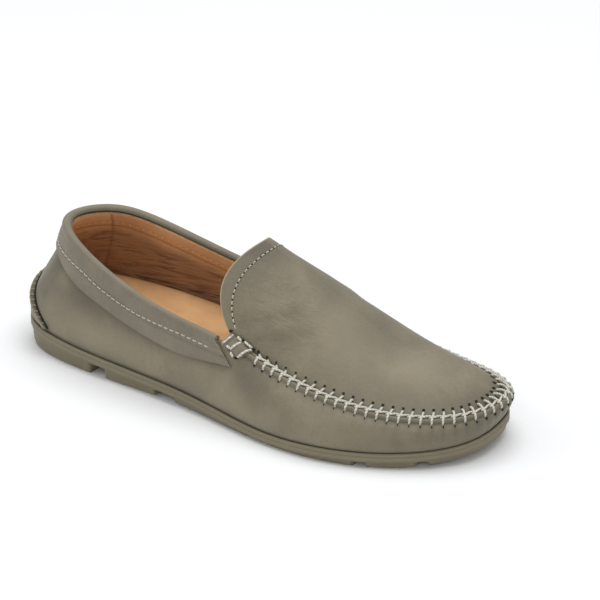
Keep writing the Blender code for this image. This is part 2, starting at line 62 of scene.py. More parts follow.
# The wall of the shoe at 24 places round it: foot x y z, top x y z, belly and shoulder in millimetres, and the
# drop, a share of the wall's rise
SECTIONS = (
    (-3.6, -0.8, 16.0, 17.6, 2.6, 72.4, 2.4, 7.5, 0.40),
    (4.4, -22.6, 15.4, 25.6, -12.0, 71.0, 2.6, 7.0, 0.40),
    (24.2, -33.6, 13.8, 40.8, -20.8, 66.9, 3.0, 4.0, 0.40),
    (50.7, -38.3, 12.2, 61.7, -27.7, 60.9, 3.0, 0.6, 0.40),
    (83.5, -41.3, 10.8, 88.7, -33.6, 54.5, 3.0, 0.6, 0.38),
    (116.3, -44.7, 9.6, 116.4, -36.7, 49.6, 3.2, 1.0, 0.34),
    (148.1, -50.7, 7.9, 146.5, -39.0, 45.1, 3.6, 2.5, 0.26),
    (179.9, -56.4, 6.7, 177.7, -42.7, 36.8, 4.0, 5.0, 0.16),
    (211.1, -56.2, 7.5, 208.8, -43.0, 30.4, 4.0, 6.5, 0.10),
    (240.7, -47.6, 8.4, 238.9, -37.1, 26.4, 4.0, 7.0, 0.08),
    (265.2, -31.9, 9.8, 263.2, -25.6, 25.4, 3.4, 6.0, 0.09),
    (280.2, -11.4, 12.0, 278.0, -10.3, 25.8, 2.4, 4.2, 0.12),
    (282.6, 10.2, 14.0, 283.6, 7.8, 26.9, 1.8, 2.0, 0.14),
    (277.6, 25.1, 13.0, 279.4, 22.2, 27.0, 2.2, 2.2, 0.13),
    (263.9, 37.1, 11.0, 265.6, 31.8, 26.9, 3.2, 5.0, 0.10),
    (241.8, 46.0, 8.6, 244.0, 36.6, 27.6, 3.8, 6.0, 0.09),
    (212.6, 48.1, 8.2, 212.9, 38.8, 31.3, 3.8, 5.6, 0.11),
    (180.5, 45.0, 9.0, 181.0, 38.8, 37.3, 3.6, 4.2, 0.17),
    (149.2, 38.9, 10.0, 149.4, 36.2, 44.8, 3.2, 2.0, 0.26),
    (117.7, 35.0, 11.0, 118.9, 34.6, 50.2, 3.0, 1.0, 0.34),
    (85.0, 33.0, 12.0, 90.7, 33.5, 56.0, 3.0, 0.6, 0.38),
    (52.1, 32.1, 13.0, 62.8, 32.0, 62.6, 3.0, 0.6, 0.40),
    (26.0, 29.0, 14.0, 41.2, 27.6, 68.7, 3.0, 3.6, 0.40),
    (5.0, 20.0, 15.4, 26.2, 18.9, 71.7, 2.6, 6.6, 0.40),
)
TABLE = np.array(SECTIONS)
ROUND = len(SECTIONS)
THROAT_LATERAL, TOE_TIP, THROAT_MEDIAL = 6, 12, 18
# Both ends of the laced seam, and the steps from the throat to the tongue's stitch row
LACED_FROM, LACED_TO, TONGUE_ROW = 6.60, 17.40, 0.24

# Leather and the raised seam, as the solids have them
UPPER_WALL, APRON_WALL, GAP = 2.0 * MM, 1.8 * MM, 0.3 * MM
BAND_WALL_HEEL, BAND_WALL_FRONT, BAND_TUCK = 3.0 * MM, 2.4 * MM, 0.4 * MM
MARGIN_WIDTH, CUP_DEPTH, LIP_WALL = 12.0 * MM, 2.0 * MM, 1.4 * MM
SEAM_RISE, SEAM_FLARE, SEAM_FOLD, RIM_STEP = 1.8 * MM, 0.5 * MM, 3.4 * MM, 0.6 * MM
SEAM_START, SEAM_FULL = 6.25, 5.75
EDGE_CROWN, RIM_FOLD = 0.35 * MM, 0.3 * MM
BAND_SIDE, BAND_HEEL, BAND_FRONT = 16.0 * MM, 10.5 * MM, 10.2 * MM
BAND_END_TOP, BAND_END_LOW = 5.76, 6.16

# Ridge of the apron from the tongue's tip to the toe: x, z in millimetres
RIDGE = ((138.6, 85.8), (160.0, 76.2), (180.0, 65.5), (200.0, 54.6), (220.0, 44.9), (240.0, 38.9),
         (258.0, 35.0))
RIDGE_SHIFT, RIDGE_SHIFT_TONGUE = 0.24, 0.15
TONGUE_BOW, TONGUE_BOW_SCALE, TONGUE_FADE = 12.2 * MM, 3.08, 0.30
TONGUE_ARCH, TOE_ARCH, ARCH_SOFT = (1.5, 0.48), (1.55, 1.0), 0.06

COUNTER_HALF, COUNTER_HEIGHT, COUNTER_LOW = 1.92, 0.35, 0.05
INSOLE_WALL = 3.0 * MM
LINING_ROW = 4.7 * MM
HEEL_PAD, HEEL_PAD_FULL, HEEL_PAD_END, HEEL_PAD_TAPER = 10.0 * MM, 60 * MM, 190 * MM, 0.10
# Length of thread in which its strands turn once
TWIST = 2.2 * MM


# The last: smooth curves and faces that the pieces lie on

def closed_spline(points, place):
    """A smooth closed curve through numbered points, read at places that count round it."""
    count = len(points)
    bend = 4 * np.eye(count) + np.roll(np.eye(count), 1, 0) + np.roll(np.eye(count), -1, 0)
    second = np.linalg.solve(bend, 6 * (np.roll(points, -1, 0) - 2 * points + np.roll(points, 1, 0)))
    place = np.asarray(place, float) % count
    before = np.floor(place).astype(int) % count
    after = (before + 1) % count
    s = (place - np.floor(place))[..., None]
    r = 1 - s
    return (r * points[before] + s * points[after]
            + ((r**3 - r) * second[before] + (s**3 - s) * second[after]) / 6)


def open_spline(xs, ys, at):
    """A smooth curve through y over x, straight at both ends, read at x."""
    xs, ys = np.asarray(xs, float), np.asarray(ys, float)
    step, slope = np.diff(xs), np.diff(ys) / np.diff(xs)
    count = len(xs)
    bend, side = np.eye(count), np.zeros(count)
    for i in range(1, count - 1):
        bend[i, i - 1:i + 2] = step[i - 1], 2 * (step[i - 1] + step[i]), step[i]
        side[i] = 6 * (slope[i] - slope[i - 1])
    second = np.linalg.solve(bend, side)
    i = np.clip(np.searchsorted(xs, at) - 1, 0, count - 2)
    h = step[i]
    a, b = (xs[i + 1] - at) / h, (at - xs[i]) / h
    return a * ys[i] + b * ys[i + 1] + ((a**3 - a) * second[i] + (b**3 - b) * second[i + 1]) * h * h / 6


def smooth_step(low, high, x):
    """0 up to low, 1 from high, and a soft rise between them."""
    s = np.clip((np.asarray(x, float) - low) / (high - low), 0, 1)
    return s * s * (3 - 2 * s)


def bell(x, width, middle=0.0):
    """1 in the middle, fading out on both sides."""
    return np.exp(-((x - middle) / width)**2)


def unit(vectors):
    return vectors / np.maximum(np.linalg.norm(vectors, axis=-1, keepdims=True), 1e-12)


def foot_line(place):
    return closed_spline(TABLE[:, 0:3] * MM, place)


def top_line(place):
    return closed_spline(TABLE[:, 3:6] * MM, place)


def outward(line, place):
    """The level direction that leads away from the shoe, square to a line round it."""
    along = line(place + 0.01) - line(place - 0.01)
    return unit(np.stack([along[..., 1], -along[..., 0], np.zeros(along.shape[:-1])], -1))


def from_toe(place):
    return np.abs((np.asarray(place, float) % ROUND) - TOE_TIP)


def away_from(middle, place):
    """Steps from one place to another, the short way round."""
    return (place - middle + ROUND / 2) % ROUND - ROUND / 2


def seam_share(place):
    """1 along the raised seam, 0 round the collar."""
    return np.clip((SEAM_START - from_toe(place)) / (SEAM_START - SEAM_FULL), 0, 1)[..., None]


def band_wall(place):
    """Thickness of the collar band, which is padded at the heel."""
    share = smooth_step(1.5, 4.5, TOE_TIP - from_toe(place))
    return (BAND_WALL_HEEL + (BAND_WALL_FRONT - BAND_WALL_HEEL) * share)[..., None]


def rim_edges(place):
    """Outer and inner edge of the upper's rim, and the valley at the seam's foot."""
    share = seam_share(place)
    top, out = top_line(place), outward(top_line, place)
    rim = top - UP * (band_wall(place) + BAND_TUCK + GAP) * (1 - share)
    inner = rim + out * (GAP / 2) * share
    outer = rim + out * (UPPER_WALL + GAP / 2 * share)
    valley = outer + out * SEAM_FLARE * share - UP * (RIM_STEP + (SEAM_RISE - RIM_STEP) * share)
    return outer, inner, valley


def wall(place, height):
    """The upper's outer face: place counts round the sections, height from the sole (0) to the valley (1)."""
    place, height = np.broadcast_arrays(np.asarray(place, float), np.asarray(height, float))
    foot, out = foot_line(place), outward(foot_line, place)
    valley = rim_edges(place)[2]
    rise = (valley - foot)[..., 2:3]
    belly, shoulder, drop = np.split(closed_spline(TABLE[:, 6:9], place), 3, -1)
    low = foot + out * belly * MM + UP * rise * 0.36
    high = valley + out * shoulder * MM - UP * rise * drop
    s = height[..., None]
    r = 1 - s
    return r**3 * foot + 3 * r * r * s * low + 3 * r * s * s * high + s**3 * valley


def wall_normal(place, height):
    """The direction that leads out of the wall."""
    place, height = np.broadcast_arrays(np.asarray(place, float), np.asarray(height, float))
    low, high = np.clip(height - 0.02, 0, 1), np.clip(height + 0.02, 0, 1)
    up = wall(place, high) - wall(place, low)
    along = wall(place + 0.02, height) - wall(place - 0.02, height)
    return unit(np.cross(along, up))


def lifted(place, height, lift):
    """The upper's face, moved out of the wall by lift."""
    place, height = np.broadcast_arrays(np.asarray(place, float), np.asarray(height, float))
    lift = np.broadcast_to(lift, place.shape)
    return wall(place, height) + wall_normal(place, height) * lift[..., None]


def wall_tall(place):
    return np.linalg.norm(wall(place, 1.0) - wall(place, 0.0), axis=-1)


def height_below(place, below):
    """The height on the wall that lies so far below the valley."""
    return 1 - np.asarray(below) / wall_tall(place)


def arch(across, share):
    """Rise of the apron from its edge (across 1) to its ridge (across 0). share is 1 at the free edge."""
    power, square = (toe + (tongue - toe) * share for toe, tongue in zip(TOE_ARCH, TONGUE_ARCH))
    low, high = ARCH_SOFT**(power / 2), (1 + ARCH_SOFT)**(power / 2)
    return np.clip(1 - ((across**2 + ARCH_SOFT)**(power / 2) - low) / (high - low), 0, None)**square


def apron_face(along, inward):
    """The apron's outer face: along counts round the seam, inward runs from its foot (0) to the ridge (1)."""
    along, inward = np.broadcast_arrays(np.asarray(along, float), np.asarray(inward, float))
    edges = []
    for place in (along, 2 * TOE_TIP - along):
        top, out = top_line(place), outward(top_line, place)
        edges.append(top - out * (APRON_WALL + GAP / 2 + SEAM_FLARE) - UP * SEAM_RISE)
    edge, other = edges
    toe = 1 - np.abs(along - TOE_TIP)[..., None] / (TOE_TIP - THROAT_LATERAL)
    near_edge = 1 - smooth_step(0, TONGUE_FADE, toe)
    shift = RIDGE_SHIFT + (RIDGE_SHIFT_TONGUE - RIDGE_SHIFT) * near_edge
    side = np.abs(edge[..., 1:2] - other[..., 1:2]) / 2
    ridge = (edge + other) / 2
    ridge[..., 1:2] += shift * side
    start, end = RIDGE[0][0] * MM, RIDGE[-1][0] * MM
    throat, tip = top_line(np.array(float(THROAT_LATERAL)))[0], top_line(np.array(float(TOE_TIP)))[0]
    run = np.clip((ridge[..., 0] - throat) / (tip - throat), 0, 1)
    ridge[..., 0] = start + (end - start) * run
    ridge[..., 2] = open_spline([r[0] for r in RIDGE], [r[1] for r in RIDGE], ridge[..., 0] / MM) * MM
    s = inward[..., None]
    point = edge + (ridge - edge) * s
    point[..., 2:3] = edge[..., 2:3] + (ridge - edge)[..., 2:3] * arch(1 - s, near_edge)
    bow = TONGUE_BOW_SCALE * s**0.5 * (1 - s)**1.5
    point[..., 0:1] -= TONGUE_BOW * bow * near_edge
    return point


def apron_normal(along, inward):
    """The direction that leads out of the apron, read just short of the ridge, where the columns meet."""
    along, inward = np.broadcast_arrays(np.asarray(along, float), np.asarray(inward, float))
    inward, step = np.minimum(inward, 0.97), 0.015
    low, high = np.clip(inward - step, 0, 1), np.clip(inward + step, 0, 1)
    first, last = (np.clip(along + way, THROAT_LATERAL, THROAT_MEDIAL) for way in (-step, step))
    up = apron_face(along, high) - apron_face(along, low)
    return unit(np.cross(apron_face(last, inward) - apron_face(first, inward), up))


def band_height(place):
    """How far the collar band reaches down: least at the heel, most halfway to the throat."""
    from_heel = np.abs(place)
    return (BAND_HEEL + (BAND_SIDE - BAND_HEEL) * smooth_step(0.5, 2.5, from_heel)
            + (BAND_FRONT - BAND_SIDE) * smooth_step(4.8, 6.4, from_heel))


def counter_top(place):
    """How high the heel patch reaches up the wall: a low arch."""
    share = np.clip(1 - np.abs(place / COUNTER_HALF)**1.4, 0, 1)
    return COUNTER_LOW + (COUNTER_HEIGHT - COUNTER_LOW) * share**0.85


def place_on_frame():
    """The move from the last's own millimetres to the frame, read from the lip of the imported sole."""
    at = np.arange(ROUND * 4) / 4
    lip = foot_line(at) + outward(foot_line, at) * (GAP + LIP_WALL)
    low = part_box("outsole")[0]
    return np.array([low.x - lip[:, 0].min(), low.y - lip[:, 1].min(), 0.0])


SHIFT = place_on_frame()


def distances(line, places):
    """How far along a line each of many close places lies."""
    return np.concatenate([[0], np.cumsum(np.linalg.norm(np.diff(line(places), axis=0), axis=1))])


def seam_places(first, last, pitch, line):
    """Places from first to last that are one pitch apart along a line."""
    fine = np.linspace(first, last, 2000)
    run = distances(line, fine)
    count = int(round(run[-1] / pitch))
    return np.interp(np.linspace(0, run[-1], count + 1), run, fine)


# Meshes

def lay_net(body, net, marks=None, slots=None, uv_size=(1, 1)):
    """Lays a grid over a net of points, rows by columns.

    marks are values for the vertices, or one for all of them, and slots are material numbers for the faces.
    """
    rows, columns = net.shape[:2]
    marks = {name: np.broadcast_to(values, (rows, columns)) for name, values in (marks or {}).items()}
    made = bmesh.ops.create_grid(body, x_segments=columns - 1, y_segments=rows - 1, size=0.5)["verts"]
    if len(made) != rows * columns:
        raise RuntimeError("the grid doesn't have the net's rows and columns")
    uv_layer = body.loops.layers.uv.verify()
    floats = body.verts.layers.float
    layers = {name: floats.get(name) or floats.new(name) for name in marks}
    if layers:
        made = list(body.verts)[-rows * columns:]
    spot = {v: (round((v.co.y + 0.5) * (rows - 1)), round((v.co.x + 0.5) * (columns - 1))) for v in made}
    for face in {face for v in made for face in v.link_faces}:
        if slots is not None:
            face.material_index = int(slots[tuple(min(spot[v][k] for v in face.verts) for k in (0, 1))])
        for loop in face.loops:
            i, j = spot[loop.vert]
            loop[uv_layer].uv = (j / (columns - 1) * uv_size[0], i / (rows - 1) * uv_size[1])
    for vertex, (i, j) in spot.items():
        vertex.co = net[i, j] + SHIFT
        for name, layer in layers.items():
            vertex[layer] = float(marks[name][i, j])


def finished(name, body, materials, replaces=(), smooth_angle=50):
    """Closes the doubles, turns the faces outwards and makes the piece, which rides on the shoe. The materials
    are given by name."""
    bmesh.ops.remove_doubles(body, verts=body.verts, dist=0.002 * MM)
    bmesh.ops.dissolve_degenerate(body, edges=body.edges, dist=0.001 * MM)
    if body.calc_volume(signed=True) < 0:
        bmesh.ops.reverse_faces(body, faces=body.faces)
    mesh = bpy.data.meshes.new(name)
    body.to_mesh(mesh)
    body.free()
    mesh.shade_smooth()
    mesh.set_sharp_from_angle(angle=radians(smooth_angle))
    for material in materials:
        mesh.materials.append(painted(material))
    piece = bpy.data.objects.new(name, mesh)
    bpy.context.scene.collection.objects.link(piece)
    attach(piece, BODY)
    if replaces:
        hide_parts(*replaces)
    return piece


def net_piece(name, net, marks, materials, replaces=(), slots=None):
    """Makes a piece from one net."""
    body = bmesh.new()
    lay_net(body, net, marks, slots)
    return finished(name, body, materials, replaces)


def capped(net, out):
    """Closes both ends of a net whose rows wrap round: each column end meets its partner row halfway."""
    parts = []
    for column, inner in ((0, 1), (-1, -2)):
        end = net[:, column]
        middle = (end + end[::-1]) / 2
        away = unit(end - net[:, inner]) * out
        parts.append(((end + middle) / 2 + away, middle + away))
    first, last = parts
    return np.concatenate([first[1][:, None], first[0][:, None], net, last[0][:, None], last[1][:, None]], 1)


def capped_tube(rows, out):
    """The net of rows that wrap round, closed at both ends and along its first row."""
    net = capped(np.stack(rows), out)
    return np.concatenate([net, net[:1]])


def blank_slots(net):
    """Material 0 for every face of a net."""
    return np.zeros((net.shape[0] - 1, net.shape[1] - 1), int)


def crest_rows(outer, inner, rise, count):
    """Rows over a rounded edge, from its outer to its inner side."""
    middle, half = (outer + inner) / 2, (outer - inner) / 2
    return [middle + half * cos(turn) + UP * rise * sin(turn) for turn in np.linspace(0.2, pi - 0.2, count)]


def lay_thread(body, path, radius, up, sides=8, flat=1.0):
    """A round thread along a path, closed at both ends. up is a direction or one for each point."""
    path = np.asarray(path, float)
    tangent = unit(np.gradient(path, axis=0))
    side = unit(np.cross(tangent, np.broadcast_to(up, path.shape)))
    top = np.cross(side, tangent)
    ends = [path[0] - tangent[0] * radius * 0.6], [path[-1] + tangent[-1] * radius * 0.6]
    path = np.concatenate([ends[0], path, ends[1]])
    side, top = (np.concatenate([part[:1], part, part[-1:]]) for part in (side, top))
    girth = np.concatenate([[0], np.full(len(path) - 2, radius), [0]])
    girth[1] *= 0.8
    girth[-2] *= 0.8
    turn = np.linspace(0, 2 * pi, sides + 1)
    ring = side[:, None] * np.cos(turn)[None, :, None] + top[:, None] * np.sin(turn)[None, :, None] * flat
    length = np.linalg.norm(np.diff(path, axis=0), axis=1).sum()
    lay_net(body, path[:, None] + ring * girth[:, None, None], uv_size=(1, length / TWIST))


def lay_stitch(body, start, end, normal, radius, rise):
    """A stitch from one hole to the next, which dips into both and bows up between them."""
    s, sink = np.linspace(0, 1, 5), 0.25 * MM
    bow = np.sin(pi * s)**0.7 * (rise + sink) - sink
    path = np.asarray(start) + (np.asarray(end) - start) * s[:, None] + np.asarray(normal) * bow[:, None]
    lay_thread(body, path, radius, normal, sides=6, flat=0.8)


def lay_hole(body, centre, normal, along, width, length, proud=0.08):
    """A dark needle hole: a shallow oval cap that lies in the leather's face, its dark painted shade for the
    hole's depth. proud is in millimetres.
    """
    normal, along = unit(np.asarray(normal)), unit(np.asarray(along))
    across = np.cross(normal, along)
    turn = np.linspace(0, 2 * pi, 11)
    rows = []
    for share, lift in ((1.0, -0.15 - proud), (0.92, proud * 0.75), (0.5, proud), (0.0, proud)):
        ring = (along * np.cos(turn)[:, None] * length + across * np.sin(turn)[:, None] * width) * share / 2
        rows.append(centre + ring + normal * lift * MM)
    rows.append(np.repeat((centre - normal * (0.15 + proud) * MM)[None], 11, 0))
    lay_net(body, np.stack(rows[-1:] + rows[:-1]))


def near_line(points, start, end):
    """Distance of every point from a straight line between two points."""
    run = end - start
    share = np.clip(((points - start) @ run) / (run @ run), 0, 1)
    return np.linalg.norm(points - start - share[..., None] * run, axis=-1)


def relief(points, folds, face):
    """Soft troughs and ridges: (place, height, place, height, depth, width), depth and width in millimetres."""
    total = np.zeros(points.shape[:-1])
    for place_a, height_a, place_b, height_b, depth, width in folds:
        start, end = face(np.array(float(place_a)), height_a), face(np.array(float(place_b)), height_b)
        total -= depth * MM * bell(near_line(points, start, end), width * MM)
    return total


# Finishes

class Signal:
    """A shader socket that can be reckoned with."""

    def __init__(self, finish, socket):
        self.finish, self.socket = finish, socket

    def maths(self, operation, first, second=0.0):
        return self.finish.signal("ShaderNodeMath", {"operation": operation}, {0: first, 1: second})

    def __add__(self, other):
        return self.maths("ADD", self, other)

    def __sub__(self, other):
        return self.maths("SUBTRACT", self, other)

    def __rsub__(self, other):
        return self.maths("SUBTRACT", other, self)

    def __mul__(self, other):
        return self.maths("MULTIPLY", self, other)

    __radd__ = __add__

    def limited(self):
        return self.maths("MAXIMUM", self.maths("MINIMUM", self, 1.0), 0.0)

    def over(self, start, slope):
        """0 up to the start, then a straight rise to 1."""
        return ((self - start) * slope).limited()


class Finish:
    """A material and the nodes that make it."""

    def __init__(self, name):
        self.material = bpy.data.materials.new(name)
        self.material.use_nodes = True
        self.tree = self.material.node_tree
        self.shader = self.tree.nodes["Principled BSDF"]

    def node(self, kind, settings=None, inputs=None):
        """Makes a node: its settings first, then the values or links of its sockets."""
        node = self.tree.nodes.new(kind)
        for name, value in (settings or {}).items():
            if name == "stops":
                ramp = node.color_ramp
                while len(ramp.elements) < len(value):
                    ramp.elements.new(1.0)
                for element, (position, colour) in zip(ramp.elements, value):
                    element.position = position
                    element.color = colour
            else:
                setattr(node, name, value)
        for socket, value in (inputs or {}).items():
            self.plug(node.inputs[socket], value)
        return node

    def plug(self, socket, value):
        if isinstance(value, Signal):
            self.tree.links.new(value.socket, socket)
        else:
            socket.default_value = value

    def signal(self, kind, settings=None, inputs=None, output=0):
        return Signal(self, self.node(kind, settings, inputs).outputs[output])

    def mark(self, name):
        """A value that the piece keeps at its vertices."""
        return self.signal("ShaderNodeAttribute", {"attribute_name": name}, output="Fac")

    def coordinates(self, source="Object", scale=(1, 1, 1), turn=(0, 0, 0)):
        place = self.signal("ShaderNodeTexCoord", output=source)
        return self.signal("ShaderNodeMapping", {}, {"Vector": place, "Scale": scale, "Rotation": turn})

    def noise(self, scale, detail=3.0, rough=0.5, distortion=0.0, vector=None):
        return self.signal("ShaderNodeTexNoise", {}, {
            "Vector": vector or self.coordinates(), "Scale": scale, "Detail": detail, "Roughness": rough,
            "Distortion": distortion})

    def mixed(self, share, first, second):
        inputs = {0: share, 6: first, 7: second}
        return self.signal("ShaderNodeMix", {"data_type": "RGBA", "blend_type": "MIX"}, inputs, output=2)

    def bumped(self, height, distance, strength=1.0, under=None):
        inputs = {"Height": height, "Distance": distance, "Strength": strength}
        if under:
            inputs["Normal"] = under
        return self.signal("ShaderNodeBump", {}, inputs)

    def done(self, colour, roughness, normal=None, **fixed):
        self.plug(self.shader.inputs["Base Color"], colour)
        self.plug(self.shader.inputs["Roughness"], roughness)
        if normal:
            self.plug(self.shader.inputs["Normal"], normal)
        for name, value in fixed.items():
            self.shader.inputs[name.replace("_", " ")].default_value = value
        return self.material


def tinted(colour, red, green, blue):
    return (colour[0] * red, colour[1] * green, colour[2] * blue, 1.0)


def oiled_leather(name, colour):
    """Oiled nubuck: cloudy olive taupe with pull-up patches, fine grain, painted shade in its hollows and
    painted highlights on its ridges.
    """
    finish = Finish(name)
    cloud = finish.noise(38.0, 3.0, 0.55, 0.6)
    patch = finish.noise(95.0, 4.0, 0.6, 0.4)
    speck = finish.noise(900.0, 2.0, 0.6)
    dark, pale = tinted(colour, 0.80, 0.81, 0.82), tinted(colour, 1.13, 1.13, 1.10)
    base = finish.mixed(cloud.over(0.38, 2.4), dark, pale)
    base = finish.mixed(patch.over(0.52, 3.0) * 0.45, base, tinted(colour, 0.78, 0.785, 0.80))
    base = finish.mixed(speck.over(0.45, 2.2) * 0.30, base, tinted(colour, 1.4, 1.4, 1.36))
    fibre = finish.noise(520.0, 4.0, 0.65, 0.2, finish.coordinates(scale=(1.0, 1.0, 0.45)))
    base = finish.mixed(fibre.over(0.5, 4.0) * 0.5, base, tinted(colour, 0.72, 0.72, 0.74))
    # painted shade: the shade mark darkens hollows, grooves and creases towards a dark tone
    base = finish.mixed(finish.mark("shade").limited(), base, tinted(colour, 0.30, 0.29, 0.31))
    # painted highlight: this mark lightens the ridges of folds and the collar's roll, with some paler clouds
    base = finish.mixed(finish.mark("burnish").limited(), base, tinted(colour, 1.5, 1.5, 1.45))
    creased = finish.coordinates(scale=(0.28, 1.0, 1.0), turn=(0.0, 0.5, 0.25))
    lines = finish.noise(260.0, 3.0, 0.55, 0.5, creased)
    pebble = finish.signal("ShaderNodeTexVoronoi", {"feature": "SMOOTH_F1"},
                           {"Vector": finish.coordinates(), "Scale": 1150.0}, output="Distance")
    grain = finish.noise(420.0, 5.0, 0.62)
    normal = finish.bumped(lines * finish.mark("wrinkle"), 0.9 * MM, 0.8)
    normal = finish.bumped(grain, 0.22 * MM, 0.55, normal)
    normal = finish.bumped(pebble, 0.12 * MM, 0.35, normal)
    return finish.done(base, 0.50 + patch * 0.24, normal, Coat_Weight=0.0, Sheen_Weight=0.12,
                       Sheen_Roughness=0.5, Specular_IOR_Level=0.42)


def lining_leather(name, colour):
    """Smooth tan lining leather with fine folds where the foot rubs, and painted shade: darker deep in the shoe
    and in the troughs of the folds.
    """
    finish = Finish(name)
    cloud = finish.noise(45.0, 3.0, 0.55, 0.3)
    fine = finish.noise(700.0, 3.0, 0.6)
    dark, pale = tinted(colour, 0.82, 0.78, 0.74), tinted(colour, 1.12, 1.14, 1.16)
    base = finish.mixed(cloud.over(0.35, 2.0), dark, pale)
    base = finish.mixed(fine.over(0.5, 2.0) * 0.2, base, tinted(colour, 0.85, 0.8, 0.78))
    level = finish.coordinates(scale=(0.2, 0.6, 1.5), turn=(0.0, -0.12, 0.0))
    folds = finish.noise(250.0, 4.0, 0.55, 0.6, level)
    wrinkle = finish.mark("wrinkle")
    # painted shade: the lining deep in the shoe is darkened where the wrinkle mark is set
    base = finish.mixed((wrinkle * 0.62).limited(), base, tinted(colour, 0.26, 0.24, 0.27))
    # painted shade in the troughs of the folds
    base = finish.mixed(((0.5 - folds) * 4.5 * wrinkle).limited() * 0.8, base, tinted(colour, 0.14, 0.11, 0.11))
    base = finish.mixed(finish.mark("shade").limited(), base, tinted(colour, 0.34, 0.25, 0.2))
    normal = finish.bumped(folds * wrinkle, 1.6 * MM, 0.9)
    normal = finish.bumped(fine, 0.12 * MM, 0.4, normal)
    return finish.done(base, 0.42 + cloud * 0.14, normal, Specular_IOR_Level=0.45)


def cut_edge(name, colour):
    """The raw edge of the hide: paler, with fibres along it."""
    finish = Finish(name)
    fibre = finish.noise(1300.0, 3.0, 0.6)
    base = finish.mixed(fibre, tinted(colour, 0.9, 0.85, 0.75), tinted(colour, 1.2, 1.15, 1.05))
    return finish.done(base, 0.85, finish.bumped(fibre, 0.2 * MM, 0.6))


def waxed_thread(name, colour):
    """Twisted thread: its strands show as slanting ridges along the piece's own UV map."""
    finish = Finish(name)
    twist = {"Vector": finish.coordinates("UV"), "Scale": 1.0, "Distortion": 0.4, "Detail": 1.0}
    strands = finish.signal("ShaderNodeTexWave", {"wave_type": "BANDS", "bands_direction": "DIAGONAL"}, twist)
    fuzz = finish.noise(2200.0, 2.0, 0.6)
    # painted shade between the strands: the bands run from a darker to a paler tone of the thread
    base = finish.mixed(strands, tinted(colour, 0.62, 0.60, 0.56), tinted(colour, 1.08, 1.08, 1.08))
    base = finish.mixed(fuzz * 0.3, base, tinted(colour, 0.7, 0.66, 0.6))
    return finish.done(base, 0.62, finish.bumped(strands, 0.25 * MM, 0.8))


def moulded_rubber(name, colour):
    """Satin olive rubber with a faint spark texture, and a painted highlight on its edges."""
    finish = Finish(name)
    cloud = finish.noise(60.0, 3.0, 0.5)
    spark = finish.noise(1500.0, 2.0, 0.6)
    base = finish.mixed(cloud, tinted(colour, 0.92, 0.92, 0.95), tinted(colour, 1.18, 1.18, 1.15))
    # painted highlight: paler where the surface is pointed, on the lip and beads
    edge = finish.signal("ShaderNodeNewGeometry", output="Pointiness")
    base = finish.mixed(edge.over(0.52, 8.0) * 0.35, base, tinted(colour, 1.6, 1.55, 1.4))
    return finish.done(base, 0.46 + cloud * 0.16, finish.bumped(spark, 0.1 * MM, 0.4), Specular_IOR_Level=0.45)


def dark_hole(name):
    """Painted shade for the inside of a needle hole: near black, mottled."""
    finish = Finish(name)
    mottle = finish.noise(1800.0, 2.0, 0.5)
    return finish.done(finish.mixed(mottle, (0.004, 0.003, 0.003, 1), (0.016, 0.013, 0.010, 1)), 0.9)


# Every material, with its maker and the colour that it takes from the scene
MATERIALS = {
    "olive_leather": (oiled_leather, "leather"),
    "olive_band_leather": (oiled_leather, "band"),
    "hide_edge": (cut_edge, "edge"),
    "tan_lining": (lining_leather, "lining"),
    "tan_footbed": (lining_leather, "footbed"),
    "thick_waxed_thread": (waxed_thread, "seam_thread"),
    "fine_waxed_thread": (waxed_thread, "row_thread"),
    "heel_thread": (waxed_thread, "edge"),
    "tan_thread": (waxed_thread, "footbed"),
    "olive_rubber": (moulded_rubber, "rubber"),
    "needle_hole": (dark_hole,),
}


def painted(name):
    """The material of that name, made when it is first asked for."""
    maker, *colour = MATERIALS[name]
    group = bpy.context.scene.shoe_colours
    return bpy.data.materials.get(name) or maker(name, *(getattr(group, part) for part in colour))


# Sizes and colours that a user would change

def length(name, millimetres, description):
    return FloatProperty(name=name, description=description, default=millimetres * MM, unit="LENGTH")


def tone(name, colour, description):
    return FloatVectorProperty(name=name, description=description, default=colour, subtype="COLOR")


class ShoeSizes(bpy.types.PropertyGroup):
    """Sizes of the hand sewing."""

    seam_pitch: length("Seam pitch", 5.6, "From one stitch of the raised seam to the next")
    seam_thread: length("Seam thread", 0.52, "Radius of the thick thread of the raised seam")
    row_pitch: length("Row pitch", 3.9, "From one stitch of the collar's row to the next")
    row_thread: length("Row thread", 0.35, "Radius of the thread of the stitch rows")
    pleat_depth: length("Pleat depth", 0.34, "Depth of the vamp's puckers below the seam at the toe")


class ShoeColours(bpy.types.PropertyGroup):
    """Colours of the shoe's materials."""

    leather: tone("Leather", (0.222, 0.190, 0.126), "Vamp, quarters and apron")
    band: tone("Collar", (0.212, 0.184, 0.130), "Collar band and side tabs")
    lining: tone("Lining", (0.66, 0.355, 0.165), "Quarter lining")
    footbed: tone("Footbed", (0.72, 0.42, 0.195), "Cover of the insole")
    rubber: tone("Rubber", (0.196, 0.170, 0.108), "Outsole")
    seam_thread: tone("Seam thread", (0.76, 0.74, 0.66), "Thick thread of the raised seam")
    row_thread: tone("Row thread", (0.72, 0.69, 0.58), "Thread of the stitch rows")
    edge: tone("Cut edge", (0.34, 0.30, 0.205), "Raw edge of the hide")


def sizes():
    return bpy.context.scene.shoe_sizes


